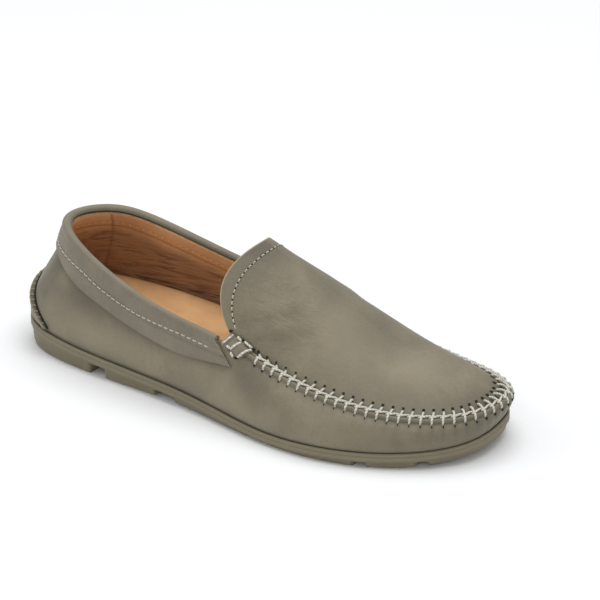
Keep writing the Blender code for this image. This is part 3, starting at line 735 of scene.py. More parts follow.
# Soft troughs (depth above 0) and ridges of the wall: place, height, place, height, depth, width
WALL_FOLDS = (
    (1.30, 0.86, 1.42, 0.40, 0.55, 5.0),
    (0.95, 0.80, 1.05, 0.55, -0.35, 5.0),
    (2.30, 0.60, 3.10, 0.52, 0.35, 5.0),
    (3.20, 0.62, 4.60, 0.58, 0.30, 4.5),
    (4.90, 0.66, 5.60, 0.50, -0.30, 5.0),
    (6.30, 0.70, 6.75, 0.35, 0.45, 5.0),
    (6.90, 0.60, 7.60, 0.42, 0.30, 6.0),
    (7.30, 0.80, 7.80, 0.55, -0.35, 6.0),
    (8.40, 0.50, 9.30, 0.45, 0.25, 6.0),
    (16.6, 0.60, 17.3, 0.40, 0.40, 6.0),
    (18.6, 0.66, 19.6, 0.52, 0.35, 6.0),
    (20.2, 0.62, 21.2, 0.50, 0.30, 6.0),
    (22.6, 0.80, 22.8, 0.42, 0.45, 5.0),
)

# Dark and pale clouds of the wall: strength, place, height, and the half widths of the cloud in both
WALL_TONES = (
    (0.30, 0.9, 0.62, 0.55, 0.50),
    (0.38, 0.98, 0.60, 0.17, 0.34),
    (0.26, 2.4, 0.55, 0.80, 0.16),
    (0.24, 6.6, 0.70, 0.35, 0.30),
    (0.20, 10.6, 0.45, 1.30, 0.50),
    (0.16, 13.5, 0.45, 2.00, 0.60),
    (0.30, 23.1, 0.60, 0.60, 0.50),
    (0.20, 18.0, 0.70, 0.60, 0.30),
)
WALL_PALE = (
    (0.42, 3.2, 0.28, 1.20, 0.22),
    (0.26, 6.3, 0.30, 1.00, 0.25),
    (0.20, 8.6, 0.45, 0.80, 0.30),
    (0.35, 20.6, 0.30, 1.20, 0.25),
)
# The same on the apron: strength, along, inward, half widths
APRON_TONES = (
    (0.62, 6.0, 0.85, 0.60, 0.32),
    (0.26, 11.2, 0.25, 1.30, 0.35),
    (0.22, 12.6, 0.10, 1.60, 0.20),
    (0.30, 17.8, 0.70, 0.40, 0.50),
)
APRON_PALE = (
    (0.38, 7.9, 0.55, 0.70, 0.40),
    (0.24, 9.5, 0.60, 0.80, 0.30),
)

# Troughs and ridges of the apron: along, inward, along, inward, depth, width
APRON_FOLDS = (
    (6.45, 0.10, 7.10, 0.46, 0.50, 3.6),
    (6.70, 0.08, 7.45, 0.40, 0.42, 3.2),
    (7.00, 0.16, 7.60, 0.34, 0.36, 3.0),
    (6.75, 0.36, 7.30, 0.62, -0.35, 5.0),
    (7.20, 0.55, 7.60, 0.90, 0.50, 9.0),
    (8.00, 0.55, 8.80, 0.80, 0.45, 9.0),
    (9.20, 0.50, 10.0, 0.85, -0.35, 9.0),
    (17.5, 0.10, 16.9, 0.46, 0.50, 3.6),
    (17.2, 0.10, 16.5, 0.42, 0.42, 3.2),
    (16.4, 0.50, 15.6, 0.80, 0.40, 8.0),
)


def seam_run():
    """Places round the shoe, and the number of seam stitches up to each."""
    fine = np.linspace(0, ROUND, 4000)
    return fine, distances(top_line, fine) / sizes().seam_pitch


def clouds(spots, place, height):
    """The sum of a table's clouds, each fading out round its middle."""
    return sum(strength * bell(place, wide, middle) * bell(height, tall, level)
               for strength, middle, level, wide, tall in spots)


def medial_dome(along, inward):
    """How much the apron bulges beside the medial seam, in metres."""
    return (2.5 * MM * smooth_step(0.0, 0.13, inward) * (1 - smooth_step(0.35, 0.95, inward))
            * smooth_step(12.4, 13.5, along) * (1 - smooth_step(16.6, 17.6, along)))


class SHOE_OT_upper(bpy.types.Operator):
    """Vamp and quarters: one hollow leather wall with puckers under the raised seam"""

    bl_idname = "shoe.upper"
    bl_label = "Upper"

    def execute(self, context):
        at = np.linspace(0, ROUND, ROUND * 28 + 1)
        heights = np.concatenate([[0.0, 0.015], np.linspace(0.03, 0.78, 26), np.linspace(0.8, 1.0, 16)])
        place, height = np.meshgrid(at, heights)
        points = wall(place, height)
        below = (1 - height) * wall_tall(place)
        seam = seam_share(place)[..., 0]
        toe = 0.35 + 0.65 * (1 - smooth_step(2.0, 5.0, from_toe(place)))
        fade = bell(below, 6.5 * MM) * smooth_step(0.2 * MM, 2.0 * MM, below)
        puckers = np.cos(2 * pi * np.interp(at, *seam_run()))[None] * fade * toe * seam
        folds = relief(points, WALL_FOLDS, wall)
        lift = (folds + sizes().pleat_depth * puckers) * smooth_step(0, 0.05, height)
        roll_in = 0.5 * MM * (1 - smooth_step(0, 0.06, height))
        outer_rows = points + wall_normal(place, height) * (lift - roll_in)[..., None]
        foot, out = foot_line(at), outward(foot_line, at)
        floor = foot - UP * (CUP_DEPTH - GAP)
        outer, inner, _ = rim_edges(at)
        share = seam_share(at)
        rows = [floor - out * MARGIN_WIDTH, floor - out * 4 * MM, floor - out * MM, floor + UP * 0.9 * MM]
        face = slice(len(rows), len(rows) + len(heights))
        rows += list(outer_rows) + [outer] + crest_rows(outer, inner, EDGE_CROWN * (0.3 + 0.7 * share), 7)
        rows += [inner, inner - UP * (RIM_FOLD + (SEAM_FOLD - RIM_FOLD) * share)]
        rows += [lifted(at, h, -UPPER_WALL * 0.55) for h in (0.98, 0.85, 0.72, 0.57, 0.42, 0.28, 0.12)]
        rows += [floor - out * 1.8 * MM + UP * 1.2 * MM, floor - out * MARGIN_WIDTH + UP * UPPER_WALL]
        net = np.stack(rows + rows[:1])
        shade, burnish, wrinkle = (np.zeros(net.shape[:2]) for _ in range(3))
        groove = bell(below, 1.6 * MM) * 0.55 * seam
        near_band = bell(below, 2.2 * MM, band_height(away_from(0, place))) * (1 - seam) * 0.35
        pulled = -folds / MM
        shade[face] = groove + near_band + bell(height, 0.07) * 0.45 + np.clip(pulled, 0, 1) * 0.5
        shade[face] += np.clip(-puckers, 0, 1) * 0.28
        shade[face] += clouds(WALL_TONES, place, height)
        # painted highlight on the ridges of the folds, plus the paler clouds
        burnish[face] = np.clip(-pulled, 0, 1) * 0.6 + clouds(WALL_PALE, place, height)
        wrinkle[face] = 0.25 + 0.5 * bell(place, 0.6, 6.6) + 0.4 * fade * seam
        marks = {"shade": shade, "burnish": burnish, "wrinkle": wrinkle}
        net_piece("vamp_and_quarters", net, marks, ["olive_leather"], ["upper"])
        return {"FINISHED"}


class SHOE_OT_apron(bpy.types.Operator):
    """Apron and tongue: the plug over the toes, its edge turned up into the seam, its rear end free"""

    bl_idname = "shoe.apron"
    bl_label = "Apron and tongue"

    def execute(self, context):
        side = np.linspace(THROAT_LATERAL, 7.5, 70)[:-1]
        at = np.concatenate([side, np.linspace(7.5, 16.5, 190), ROUND - side[::-1]])
        across = np.concatenate([np.linspace(0, 0.1, 10)[:-1], np.linspace(0.1, 1, 44)])
        along, inward = np.meshgrid(at, across)
        points, normal = apron_face(along, inward), apron_normal(along, inward)
        seam_side = np.linalg.norm(points - points[0][None], axis=-1)
        toe = 0.25 + 0.75 * (1 - smooth_step(2.0, 5.0, from_toe(along)))
        puckers = np.cos(2 * pi * np.interp(at, *seam_run()))[None] * bell(seam_side, 5 * MM) * toe
        folds = relief(points, APRON_FOLDS, apron_face)
        lift = (folds - puckers * sizes().pleat_depth * 0.7) * smooth_step(0, 0.04, inward)
        lift += medial_dome(along, inward)
        edge_run = np.minimum(along - THROAT_LATERAL, THROAT_MEDIAL - along)
        row_groove = bell(edge_run, 0.045, TONGUE_ROW) * 0.2 * MM * smooth_step(0.03, 0.1, inward)
        faces = points + normal * (lift - row_groove)[..., None]
        level = smooth_step(0.5, 1, inward)[..., None]
        backs = points - unit(normal * (1 - level) + UP * level) * APRON_WALL
        for sheet in (faces, backs):
            sheet[-1] = (sheet[-1] + sheet[-1][::-1]) / 2
        inner = top_line(at) - outward(top_line, at) * GAP / 2
        outer = inner - outward(top_line, at) * APRON_WALL
        crest = crest_rows(outer, inner, EDGE_CROWN, 6)
        rows = list(faces[::-1]) + [outer] + crest
        rows += [inner, inner - UP * SEAM_FOLD / 2, inner - UP * SEAM_FOLD] + list(backs)
        net = capped(np.stack(rows), 0.15 * MM)
        shade, burnish, wrinkle = (np.zeros(net.shape[:2]) for _ in range(3))
        pulled = -folds / MM
        dark = bell(seam_side, 2.4 * MM) * 0.5 + np.clip(pulled, 0, 1) * 0.45
        dark += clouds(APRON_TONES, along, inward)
        # painted highlight on the ridges of the folds, plus the paler clouds
        pale = np.clip(-pulled, 0, 1) * 0.6 + clouds(APRON_PALE, along, inward)
        from_folds = np.linalg.norm(points - apron_face(np.array(7.0), 0.5), axis=-1)
        block = slice(0, len(across)), slice(2, 2 + len(at))
        shade[block] = dark[::-1]
        burnish[block] = pale[::-1]
        wrinkle[block] = (0.25 + 1.5 * bell(from_folds, 22 * MM))[::-1]
        slots = blank_slots(net)
        slots[len(across) + len(crest) + 3:] = 1
        slots[:, :3] = slots[:, -3:] = 2
        marks = {"shade": shade, "burnish": burnish, "wrinkle": wrinkle}
        materials = ["olive_leather", "tan_lining", "hide_edge"]
        net_piece("apron_and_tongue", net, marks, materials, ["apron"], slots)
        return {"FINISHED"}


class SHOE_OT_collar(bpy.types.Operator):
    """Collar band: a padded cuff rolled over the top edge, with slanting ends"""

    bl_idname = "shoe.collar"
    bl_label = "Collar band"

    def execute(self, context):
        at = np.linspace(-BAND_END_TOP, BAND_END_TOP, 380)
        slant = np.sign(at) * (BAND_END_LOW - BAND_END_TOP) * smooth_step(4.5, BAND_END_TOP, np.abs(at))
        thick = band_wall(at)[:, 0]
        shares = np.concatenate([[0, 0.012, 0.03], np.linspace(0.07, 0.97, 24)])
        outer_rows, inner_rows, shade = [], [], []
        for share in shares:
            place = at + slant * (1 - share)
            below = band_height(place) * (1 - share)
            height = height_below(place, below)
            row = bell(below, 0.9 * MM, 7.0 * MM) * 0.30 * MM
            puff = 0.45 * MM * np.sin(pi * share)
            thin = 0.9 * MM * (1 - smooth_step(0.0, 0.75, share)) + 0.35 * MM * (share < 0.005)
            ends = 1 - smooth_step(0.02, 0.16, BAND_END_TOP - np.abs(at))
            flat = 1 - 0.55 * ends * (1 - smooth_step(0.7, 1, share))
            outer_rows.append(lifted(place, height, GAP + (thick - thin + puff * 0.5 - row) * flat))
            inner_rows.append(lifted(place, height, GAP))
            shade.append(np.full(len(at), 0.3 * bell(share, 0.03)) + row / (0.30 * MM) * 0.25)
        top, out = top_line(at), outward(top_line, at)
        half = ((UPPER_WALL + GAP + thick) / 2)[:, None]
        centre = top + (out - UP) * half
        turns = np.radians(np.linspace(12, 180, 16))
        roll = [centre + (out * cos(turn) + UP * sin(turn)) * half for turn in turns]
        rows = outer_rows + roll + [centre] * len(roll) + inner_rows[::-1]
        net = capped_tube(rows, 0.1 * MM)
        dark, burnish, slots = np.zeros(net.shape[:2]), np.zeros(net.shape[:2]), blank_slots(net)
        dark[:len(shade), 2:-2] = np.stack(shade)
        # painted highlight along the top of the rolled edge
        burnish[len(shade) + 5:len(shade) + 12] = 0.22
        slots[:len(shade), [1, -2]] = 1
        marks = {"shade": dark, "burnish": burnish, "wrinkle": 0.35}
        materials = ["olive_band_leather", "hide_edge"]
        net_piece("collar_cuff", net, marks, materials, ["collar_band"], slots)
        return {"FINISHED"}


class SHOE_OT_lining(bpy.types.Operator):
    """Quarter lining with its top band, and the footbed's cover"""

    bl_idname = "shoe.lining"
    bl_label = "Lining and footbed"

    def execute(self, context):
        at = np.linspace(0, ROUND, ROUND * 20 + 1)
        side = 1 - seam_share(at)[:, 0]
        shares = np.concatenate([np.linspace(1.0, 0.7, 22), np.linspace(0.68, 0.03, 28)])
        inner, back_seam, instep = rim_edges(at)[1], 22.3, 20.4
        rows = [inner - UP * 0.1 * MM - outward(top_line, at) * 0.1 * MM]
        shade, wrinkle = [np.full(len(at), 0.45)], [np.zeros(len(at))]
        for share in shares:
            heel_seam = bell(at, 0.035, back_seam + 0.55 * share)
            below = (1 - share) * wall_tall(at)
            band = (1 - smooth_step(6.4 * MM, 7.0 * MM, below)) * side
            # deep in the shoe: where the lining folds, and where it is darkened as painted shade
            rubbed_and_shaded = smooth_step(7 * MM, 13 * MM, below) * side
            puff = 0.25 * MM * np.sin(pi * np.clip(below / (6.5 * MM), 0, 1)) * band
            stitch = bell(below, 0.7 * MM, LINING_ROW) * 0.2 * MM * side
            depth = UPPER_WALL + 0.45 * MM * band + puff - stitch - heel_seam * 0.25 * MM
            rows.append(lifted(at, share, -depth))
            wrinkle.append(rubbed_and_shaded * (bell(away_from(instep, at), 2.6) * 0.4 + 0.6))
            shade.append(bell(below, 0.5 * MM, 7.1 * MM) * 0.5 * side + heel_seam * 0.7)
        rows += [lifted(at, share, -UPPER_WALL * 0.6) for share in (0.1, 0.4, 0.7, 0.98)]
        net = np.stack(rows + rows[:1])
        marks = {"shade": np.zeros(net.shape[:2]), "wrinkle": np.zeros(net.shape[:2])}
        marks["shade"][:len(shade)] = np.stack(shade)
        marks["wrinkle"][:len(shade)] = np.stack(wrinkle)
        net_piece("quarter_lining", net, marks, ["tan_lining"])
        self.footbed()
        return {"FINISHED"}

    def footbed(self):
        at = np.linspace(0, ROUND, ROUND * 16 + 1)
        foot, out = foot_line(at), outward(foot_line, at)
        edge = foot - UP * CUP_DEPTH - out * (UPPER_WALL + 0.9 * MM) + UP * (UPPER_WALL + 2 * GAP)
        face = edge + out * 0.4 * MM + UP * INSOLE_WALL
        pad = HEEL_PAD * (1 - smooth_step(HEEL_PAD_FULL, HEEL_PAD_END, face[:, 0]))[:, None]
        face = face + UP * pad - out * pad * HEEL_PAD_TAPER
        line = np.linspace(30 * MM, 255 * MM, len(at))
        middle = (face + face[::-1]) / 2
        order = np.argsort(middle[:, 0])
        share = (middle[:, 0] - middle[:, 0].min()) / np.ptp(middle[:, 0])
        spine = np.stack([np.interp(share, np.linspace(0, 1, len(at)), line)] * 3, 1)
        spine[:, 1] = np.interp(spine[:, 0], middle[order, 0], middle[order, 1])
        spine[:, 2] = np.interp(spine[:, 0], middle[order, 0], middle[order, 2])
        rows = [spine - UP * 2 * MM, edge + (spine - edge) * 0.1 - UP * 0.2 * MM]
        rows += [edge, edge + (face - edge) * 0.7]
        for s in np.linspace(0, 1, 22):
            dip = 0.8 * MM * smooth_step(0, 0.35, s) - 0.35 * MM * np.sin(pi * np.clip(s / 0.16, 0, 1))
            rows.append(face + (spine - face) * s - UP * dip)
        net = np.stack(rows)
        shade = np.zeros(net.shape[:2])
        shade[:4] = 0.5
        shade[4:8] = np.array([0.38, 0.24, 0.12, 0.05])[:, None]
        marks = {"shade": shade, "wrinkle": 0.04}
        net_piece("footbed_cover", net, marks, ["tan_footbed"], ["insole"])


class SHOE_OT_heel(bpy.types.Operator):
    """Heel patch with the hand-sewn braid round its top"""

    bl_idname = "shoe.heel"
    bl_label = "Heel patch"

    # thickness of the patch in millimetres, by share of its height: the fold lies near the top
    PROFILE = ((0, 0.5), (0.03, 0.9), (0.3, 0.95), (0.6, 0.9), (0.76, 0.9), (0.81, 1.3), (0.85, 1.7),
               (0.9, 1.75), (0.94, 1.6), (0.97, 1.2), (1, 0.5))

    def execute(self, context):
        half = COUNTER_HALF * 0.995
        at = np.linspace(-half, half, 200)
        low, high = np.full(len(at), COUNTER_LOW * 0.9), counter_top(at)
        outer = [lifted(at, low + (high - low) * share, GAP + lift * MM) for share, lift in self.PROFILE]
        inner = [lifted(at, low + (high - low) * share, GAP) for share, _ in self.PROFILE]
        net = capped_tube(outer + inner[::-1], 0.05 * MM)
        shade = np.zeros(net.shape[:2])
        shade[5] = 0.5
        shade[9:12] = 0.8
        marks = {"shade": shade, "wrinkle": 0.2}
        net_piece("heel_patch", net, marks, ["olive_leather"], ["heel_counter"])

        def on_patch(place, share, lift):
            place = np.asarray(place, float)
            height = COUNTER_LOW + (counter_top(place) - COUNTER_LOW) * share
            return lifted(place, height, GAP + lift)

        places = seam_places(-half * 0.97, half * 0.97, 4.2 * MM, lambda t: on_patch(t, 0.9, 1.7 * MM))
        threads, holes = bmesh.new(), bmesh.new()
        step = np.diff(places).mean()
        for place in places[:-1]:
            normal = wall_normal(np.array(place), 0.25)
            start, end = on_patch(place, 0.72, 0.7 * MM), on_patch(place + step * 0.5, 1.04, -0.2 * MM)
            middle = on_patch(place + step * 0.25, 0.9, 2.1 * MM)
            lay_thread(threads, bend_through(start, middle, end, 7), 0.5 * MM, normal)
            link = np.stack([on_patch(place + step * s, 0.9 + 0.03 * sin(2 * pi * s), 2.2 * MM)
                             for s in np.linspace(-0.1, 1.1, 6)])
            lay_thread(threads, link, 0.5 * MM, normal)
            lay_hole(holes, on_patch(place, 0.70, 0.9 * MM), normal, UP, 0.9 * MM, 1.1 * MM)
        # painted shadow: a continuous dark thread in the needle-hole finish along the patch's top edge, for the
        # shaded gap between braid and quarter
        edge = np.linspace(-half, half, 160)
        lay_thread(holes, on_patch(edge, 1.10, -0.1 * MM), 0.62 * MM, wall_normal(edge, 0.3))
        finished("heel_braid", threads, ["heel_thread"])
        finished("heel_braid_holes", holes, ["needle_hole"])
        return {"FINISHED"}


def bend_through(start, middle, end, steps):
    """A soft curve from start over middle to end."""
    s = np.linspace(0, 1, steps)[:, None]
    pull = 2 * middle - (start + end) / 2
    return (1 - s)**2 * start + 2 * s * (1 - s) * pull + s * s * end


class SHOE_OT_seam(bpy.types.Operator):
    """Raised hand-sewn seam: thick thread laced over the crest, with a needle hole at both ends of each arm"""

    bl_idname = "shoe.seam"
    bl_label = "Raised seam"

    # steps from the toe, and how far from the crest the apron's holes lie there, in millimetres
    REACH = ((0.0, 2.0, 3.0, 4.0, 5.0, 5.4), (7.9, 7.3, 7.1, 6.6, 5.6, 5.4))

    def execute(self, context):
        pitch, radius = sizes().seam_pitch, sizes().seam_thread
        places = seam_places(LACED_FROM, LACED_TO, pitch, top_line)
        threads, holes = bmesh.new(), bmesh.new()
        for place, width in zip(places, np.diff(places)):
            self.arm(threads, holes, place, width, radius)
            self.link(threads, place, width, radius)
        finished("raised_seam_thread", threads, ["thick_waxed_thread"])
        finished("raised_seam_holes", holes, ["needle_hole"])
        return {"FINISHED"}

    def arm(self, threads, holes, place, width, radius):
        """The strand from the apron's hole over the crest to the vamp's hole."""
        inner, outer = np.array(place + width * 0.3), np.array(place)
        reach = np.interp(from_toe(inner), *self.REACH) * MM
        face, face_up = self.on_apron(inner, reach - 1.2 * MM)
        low, low_up = self.on_vamp(outer, 0.4 * MM)
        shoulder, level = 1.2 * MM, UP * 0.85 * MM
        top_in = top_line(np.array(place + width * 0.2)) - outward(top_line, inner) * shoulder + level
        top_out = top_line(np.array(place + width * 0.08)) + outward(top_line, outer) * shoulder + level
        path = np.concatenate([
            bend_through(face - face_up * 0.35 * MM, (face + top_in) / 2 + face_up * 0.55 * MM, top_in, 6),
            bend_through(top_in, (top_in + top_out) / 2 + UP * 0.35 * MM, top_out, 4)[1:],
            bend_through(top_out, (top_out + low) / 2 + low_up * 0.6 * MM, low - low_up * 0.3 * MM, 4)[1:],
        ])
        lay_thread(threads, path, radius * 1.3, UP + face_up * 0.3)
        drop, drop_up = self.on_apron(inner, reach + 0.35 * MM)
        lay_hole(holes, drop, drop_up, face - top_in, 1.9 * MM, 3.0 * MM, 0.34)
        drop, drop_up = self.on_vamp(outer, 1.9 * MM)
        lay_hole(holes, drop, drop_up, UP, 1.4 * MM, 1.7 * MM, 0.3)

    def link(self, threads, place, width, radius):
        """One link of the braid that runs along the crest."""
        s = np.linspace(-0.15, 1.1, 8)
        at = place + width * s
        sway = np.cos(pi * np.clip(s, 0, 1)) * 0.75 * MM
        rise = (0.95 + 0.35 * np.sin(pi * s)) * MM
        path = top_line(at) + outward(top_line, at) * sway[:, None] + UP * rise[:, None]
        lay_thread(threads, path, radius * 1.15, UP)

    def on_apron(self, along, reach):
        """The point of the apron that lies so far from the crest, and the way out of it."""
        shares = np.linspace(0, 0.5, 60)
        points = apron_face(along, shares)
        far = np.linalg.norm(points - top_line(along), axis=1)
        share = np.interp(reach, far, shares)
        normal = apron_normal(along, share)
        return apron_face(along, share) + normal * medial_dome(along, share), normal

    def on_vamp(self, place, below):
        height = height_below(place, below)
        return wall(place, height), wall_normal(place, height)


class SHOE_OT_tabs(bpy.types.Operator):
    """Side tabs: the folded end of the collar, laced to the corner of the apron with thick bars"""

    bl_idname = "shoe.tabs"
    bl_label = "Side tabs"

    # bars of the lacing, from one place and distance to another. Distances count from the crest in millimetres,
    # above 0 up the tongue and below 0 down the vamp.
    BARS = (
        (5.92, -1.8, 6.145, 2.8),
        (6.10, -2.9, 6.315, 2.7),
        (6.27, 3.6, 6.33, 3.2),
        (6.42, 4.0, 6.55, 3.9),
        (6.275, -4.6, 6.53, 2.9),
        (6.01, -2.3, 6.085, -2.7),
        (6.12, -3.9, 6.185, -5.8),
    )
    SPOTS = ((6.345, 3.4), (6.565, 3.5), (6.235, -5.9), (6.10, 3.3))
    # left and right edge of the patch, from low on the vamp up to the tongue
    LEFT = ((6.175, -6.1), (6.02, -3.9), (5.86, -1.6), (5.945, 0.2), (6.10, 2.6))
    RIGHT = ((6.28, -5.3), (6.365, -2.9), (6.425, -1.0), (6.52, 2.4), (6.55, 4.2))
    STOPS = (-7.8, -4.0, -1.3, 0.0, 1.9, 5.0)

    def face(self, way, place, distance, lift):
        """A point over the seam: place as it is on the lateral side, distance in millimetres from the crest."""
        place, distance = np.broadcast_arrays(np.asarray(place, float), np.asarray(distance, float))
        at = place if way > 0 else ROUND - place
        top, out = top_line(at), outward(top_line, at)
        low, middle = (lifted(at, height_below(at, below * MM), lift) for below in (6.0, 2.2))
        spots = [low, middle, rim_edges(at)[0] + (out + UP) * lift * 0.75, top + UP * (lift + EDGE_CROWN)]
        spots += [apron_face(at, share) + apron_normal(at, share) * lift for share in (0.006, 0.03)]
        result = np.zeros(at.shape + (3,))
        for i in range(len(self.STOPS) - 1):
            share = np.clip((distance - self.STOPS[i]) / (self.STOPS[i + 1] - self.STOPS[i]), 0, 1)[..., None]
            inside = ((distance >= self.STOPS[i]) & (distance <= self.STOPS[i + 1]))[..., None]
            result = np.where(inside, spots[i] + (spots[i + 1] - spots[i]) * share, result)
        return result

    def execute(self, context):
        for name, way in (("side_tab_lateral", 1), ("side_tab_medial", -1)):
            self.patch(name, way)
            self.lacing(name, way)
        return {"FINISHED"}

    def patch(self, name, way):
        count = 33
        rise, share, corners = (np.linspace(0, 1, number) for number in (count, 37, len(self.LEFT)))
        left, right = (np.stack([np.interp(rise, corners, part) for part in zip(*edge)], -1)
                       for edge in (self.LEFT, self.RIGHT))
        spots = left[:, None] + (right - left)[:, None] * share[None, :, None]
        outer = self.face(way, spots[..., 0], spots[..., 1], 0.1 * MM)
        for _ in range(8):
            outer[1:-1] = (outer[:-2] + 2 * outer[1:-1] + outer[2:]) / 4
        normal = unit(np.cross(np.gradient(outer, axis=1), np.gradient(outer, axis=0))) * way
        up, across = (np.sin(pi * np.clip(part, 0.02, 0.98)) for part in (rise, share))
        dome = up[:, None]**0.4 * across**0.3
        fold = (share < 0.24)[None, :]
        ribs = np.where(fold, np.cos(2 * pi * share / 0.08)[None, :], 0.0)
        thick = (0.55 + 0.85 * dome + 0.12 * ribs + 0.35 * fold) * MM
        rows = list(outer + normal * thick[..., None]) + list((outer - normal * 0.15 * MM)[::-1])
        net = capped_tube(rows, 0.05 * MM)
        shade, slots = np.zeros(net.shape[:2]), blank_slots(net)
        shade[:count, 2:-2] = np.where(fold, 0.38 - 0.3 * ribs, 0.12)
        shade[:2] = shade[count - 2:count + 1] = 0.5
        slots[:count, 1:3] = 1
        marks, materials = {"shade": shade, "wrinkle": 0.3}, ["olive_band_leather", "hide_edge"]
        net_piece(name + "_patch", net, marks, materials, [name], slots)

    def lacing(self, name, way):
        threads, holes = bmesh.new(), bmesh.new()
        for start, start_up, end, end_up in self.BARS:
            s = np.linspace(0, 1, 7)
            lift = 1.55 * MM + 0.35 * MM * np.sin(pi * s)
            path = np.stack([self.face(way, start + (end - start) * t, start_up + (end_up - start_up) * t, h)
                             for t, h in zip(s, lift)])
            normal = unit(path[3] - self.face(way, (start + end) / 2, (start_up + end_up) / 2, 0.0))
            lay_thread(threads, path, 0.66 * MM, normal, sides=10)
        for place, distance in self.SPOTS:
            centre = self.face(way, place, distance, 1.1 * MM)
            normal = unit(centre - self.face(way, place, distance, 0.0))
            lay_hole(holes, centre, normal, np.array([1.0, 0.1, 0.0]), 1.5 * MM, 1.9 * MM, 0.3)
        finished(name + "_lacing", threads, ["thick_waxed_thread"])
        finished(name + "_holes", holes, ["needle_hole"])


class SHOE_OT_rows(bpy.types.Operator):
    """Stitch rows of the collar, the tongue and the lining's top band"""

    bl_idname = "shoe.rows"
    bl_label = "Stitch rows"

    # distance of the collar's row below the valley, by place, in millimetres
    COLLAR_ROW = ((0.0, 7.2), (1.1, 7.2), (1.8, 7.0), (2.3, 6.6), (2.9, 7.4), (3.5, 7.2), (4.0, 6.6),
                  (4.5, 5.2), (5.0, 4.3), (5.5, 4.7), (5.75, 4.9))

    def execute(self, context):
        self.collar_row()
        self.tongue_row()
        self.lining_row()
        return {"FINISHED"}

    def collar_row(self):
        xs, ys = zip(*self.COLLAR_ROW)

        def line(place, lift=0.0):
            below = np.interp(np.abs(place), xs, ys) * MM
            share = 1 - below / band_height(place)
            thick = band_wall(place)[..., 0]
            thin = 0.9 * MM * (1 - smooth_step(0.0, 0.75, share))
            puff = 0.225 * MM * np.sin(pi * share)
            height = height_below(place, below)
            return lifted(place, height, GAP + thick - thin + puff - 0.12 * MM + lift)

        self.run("collar_stitches", line, -5.68, 5.68, sizes().row_pitch, 0.72, 0.32 * MM,
                 lambda place: wall_normal(place, height_below(place, 7 * MM)))

    def tongue_row(self):
        """The row near the tongue's free edge: 0 to 1 up the lateral half, 1 to 2 down the medial half."""
        def spot(s):
            half = np.asarray(s, float) <= 1
            along = np.where(half, THROAT_LATERAL + TONGUE_ROW, THROAT_MEDIAL - TONGUE_ROW)
            return along, np.where(half, s, 2 - np.asarray(s, float))

        def up(s):
            return apron_normal(*spot(s))

        def line(s, lift=0.0):
            return apron_face(*spot(s)) + up(s) * lift

        self.run("tongue_stitches", line, 0.035, 1.965, 3.3 * MM, 0.62, 0.22 * MM, up, "tongue_stitch_holes")

    def lining_row(self):
        def line(place, lift=0.0):
            height = height_below(place, LINING_ROW)
            return lifted(place, height, -UPPER_WALL - 0.55 * MM - lift)

        self.run("lining_stitches", line, -5.9, 5.9, 4.0 * MM, 0.66, 0.22 * MM,
                 lambda place: -wall_normal(place, height_below(place, LINING_ROW)), thread="tan_thread")

    def run(self, name, line, first, last, pitch, share, rise, up, holes=None, thread="fine_waxed_thread"):
        """Lays the stitches of one row along a line, each over its share of the pitch."""
        places = seam_places(first, last, pitch, line)
        body, dark = bmesh.new(), bmesh.new()
        for start, after in zip(places[:-1], places[1:]):
            end = start + (after - start) * share
            normal = up(np.array((start + end) / 2))
            a, b = line(np.array(start)), line(np.array(end))
            lay_stitch(body, a, b, normal, sizes().row_thread, rise)
            hole = line(np.array((end + after) / 2), 0.02 * MM)
            lay_hole(dark, hole, normal, b - a, 0.8 * MM, 1.1 * MM)
        finished(name, body, [thread])
        if holes:
            finished(holes, dark, ["needle_hole"])
        else:
            dark.free()


class SHOE_OT_outsole(bpy.types.Operator):
    """Rubber outsole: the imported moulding, with its edges softened"""

    bl_idname = "shoe.outsole"
    bl_label = "Outsole"

    def execute(self, context):
        body = bmesh.new()
        body.from_mesh(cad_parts["outsole"].data)
        bmesh.ops.remove_doubles(body, verts=body.verts, dist=0.005 * MM)
        finished("sole_unit", body, ["olive_rubber"], ["outsole"], smooth_angle=32)
        return {"FINISHED"}


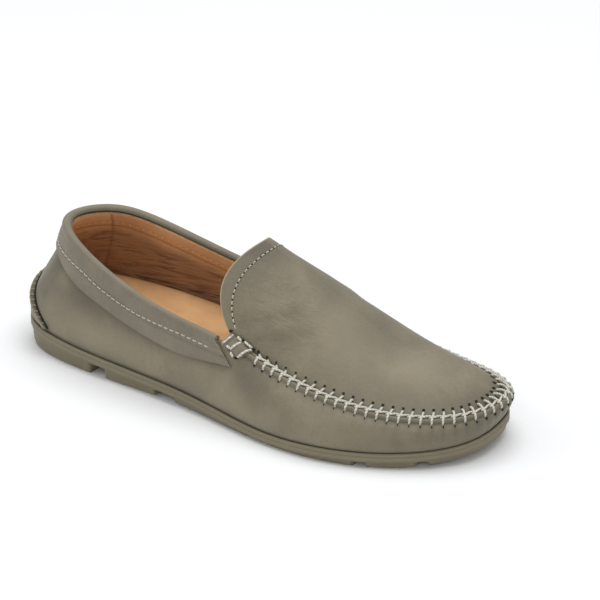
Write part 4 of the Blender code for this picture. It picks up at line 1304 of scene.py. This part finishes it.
class SHOE_OT_stage(bpy.types.Operator):
    """Pale floor, soft studio lights and the camera"""

    bl_idname = "shoe.stage"
    bl_label = "Stage"

    CAMERA = {"azimuth": 32.27, "elevation": 25.82, "distance": 1.762, "lens": 193.14}
    AIM = (140.2, 39.3, 35.0)

    def execute(self, context):
        self.floor()
        self.light("overhead_softbox", (0.05, 0.25, 1.5), (1.4, 1.2), 14.0)
        self.light("left_softbox", (-1.3, -0.7, 0.9), (0.9, 0.9), 3.8)
        self.light("front_softbox", (0.9, -1.6, 0.8), (1.2, 0.8), 3.3)
        world = context.scene.world or bpy.data.worlds.new("studio")
        context.scene.world = world
        world.use_nodes = True
        sky = world.node_tree.nodes["Background"].inputs
        sky["Color"].default_value = (0.95, 0.97, 1.0, 1)
        sky["Strength"].default_value = 0.56
        context.scene.view_settings.view_transform = "Standard"
        self.camera(context)
        return {"FINISHED"}

    def floor(self):
        body = bmesh.new()
        bmesh.ops.create_grid(body, x_segments=2, y_segments=2, size=6.0)
        mesh = bpy.data.meshes.new("floor")
        body.to_mesh(mesh)
        body.free()
        finish = Finish("pale_floor")
        cloud = finish.noise(3.0, 2.0, 0.5)
        colour = finish.mixed(cloud, (0.955, 0.957, 0.96, 1), (0.97, 0.972, 0.975, 1))
        mesh.materials.append(finish.done(colour, 0.7))
        floor = bpy.data.objects.new("floor", mesh)
        bpy.context.scene.collection.objects.link(floor)

    def light(self, name, place, size, power):
        lamp = bpy.data.lights.new(name, "AREA")
        lamp.shape = "RECTANGLE"
        lamp.size, lamp.size_y = size
        lamp.energy = power
        thing = bpy.data.objects.new(name, lamp)
        bpy.context.scene.collection.objects.link(thing)
        thing.location = place
        thing.rotation_euler = (Vector((0, 0, 0.03)) - Vector(place)).to_track_quat("-Z", "Y").to_euler()

    def camera(self, context):
        data = bpy.data.cameras.new("camera")
        data.lens, data.sensor_width = self.CAMERA["lens"], 36.0
        data.clip_start, data.clip_end = 0.05, 30.0
        camera = bpy.data.objects.new("camera", data)
        context.scene.collection.objects.link(camera)
        a, e = radians(self.CAMERA["azimuth"]), radians(self.CAMERA["elevation"])
        back = Vector((sin(a) * cos(e), -cos(a) * cos(e), sin(e)))
        aim = Vector(np.array(self.AIM) * MM + SHIFT)
        camera.location = aim + back * self.CAMERA["distance"]
        camera.rotation_mode = "QUATERNION"
        camera.rotation_quaternion = (-back).to_track_quat("-Z", "Y")
        context.scene.camera = camera


OPERATORS = (SHOE_OT_outsole, SHOE_OT_upper, SHOE_OT_lining, SHOE_OT_apron, SHOE_OT_collar, SHOE_OT_heel,
             SHOE_OT_tabs, SHOE_OT_seam, SHOE_OT_rows, SHOE_OT_stage)


class SHOE_PT_panel(bpy.types.Panel):
    """The shoe's sizes, colours and pieces"""

    bl_label = "Driving moccasin"
    bl_idname = "SHOE_PT_panel"
    bl_space_type = "VIEW_3D"
    bl_region_type = "UI"
    bl_category = "Shoe"

    def draw(self, context):
        for group in (context.scene.shoe_sizes, context.scene.shoe_colours):
            box = self.layout.box()
            for name in group.__annotations__:
                box.prop(group, name)
        for operator in OPERATORS:
            self.layout.operator(operator.bl_idname)


CLASSES = (ShoeSizes, ShoeColours) + OPERATORS + (SHOE_PT_panel,)


def register():
    for kind in CLASSES:
        bpy.utils.register_class(kind)
    bpy.types.Scene.shoe_sizes = PointerProperty(type=ShoeSizes)
    bpy.types.Scene.shoe_colours = PointerProperty(type=ShoeColours)


def unregister():
    del bpy.types.Scene.shoe_sizes
    del bpy.types.Scene.shoe_colours
    for kind in reversed(CLASSES):
        bpy.utils.unregister_class(kind)


def main():
    """Builds every piece and the stage."""
    register()
    for operator in OPERATORS:
        group, name = operator.bl_idname.split(".")
        getattr(getattr(bpy.ops, group), name)()


if __name__ == "__main__":
    main()
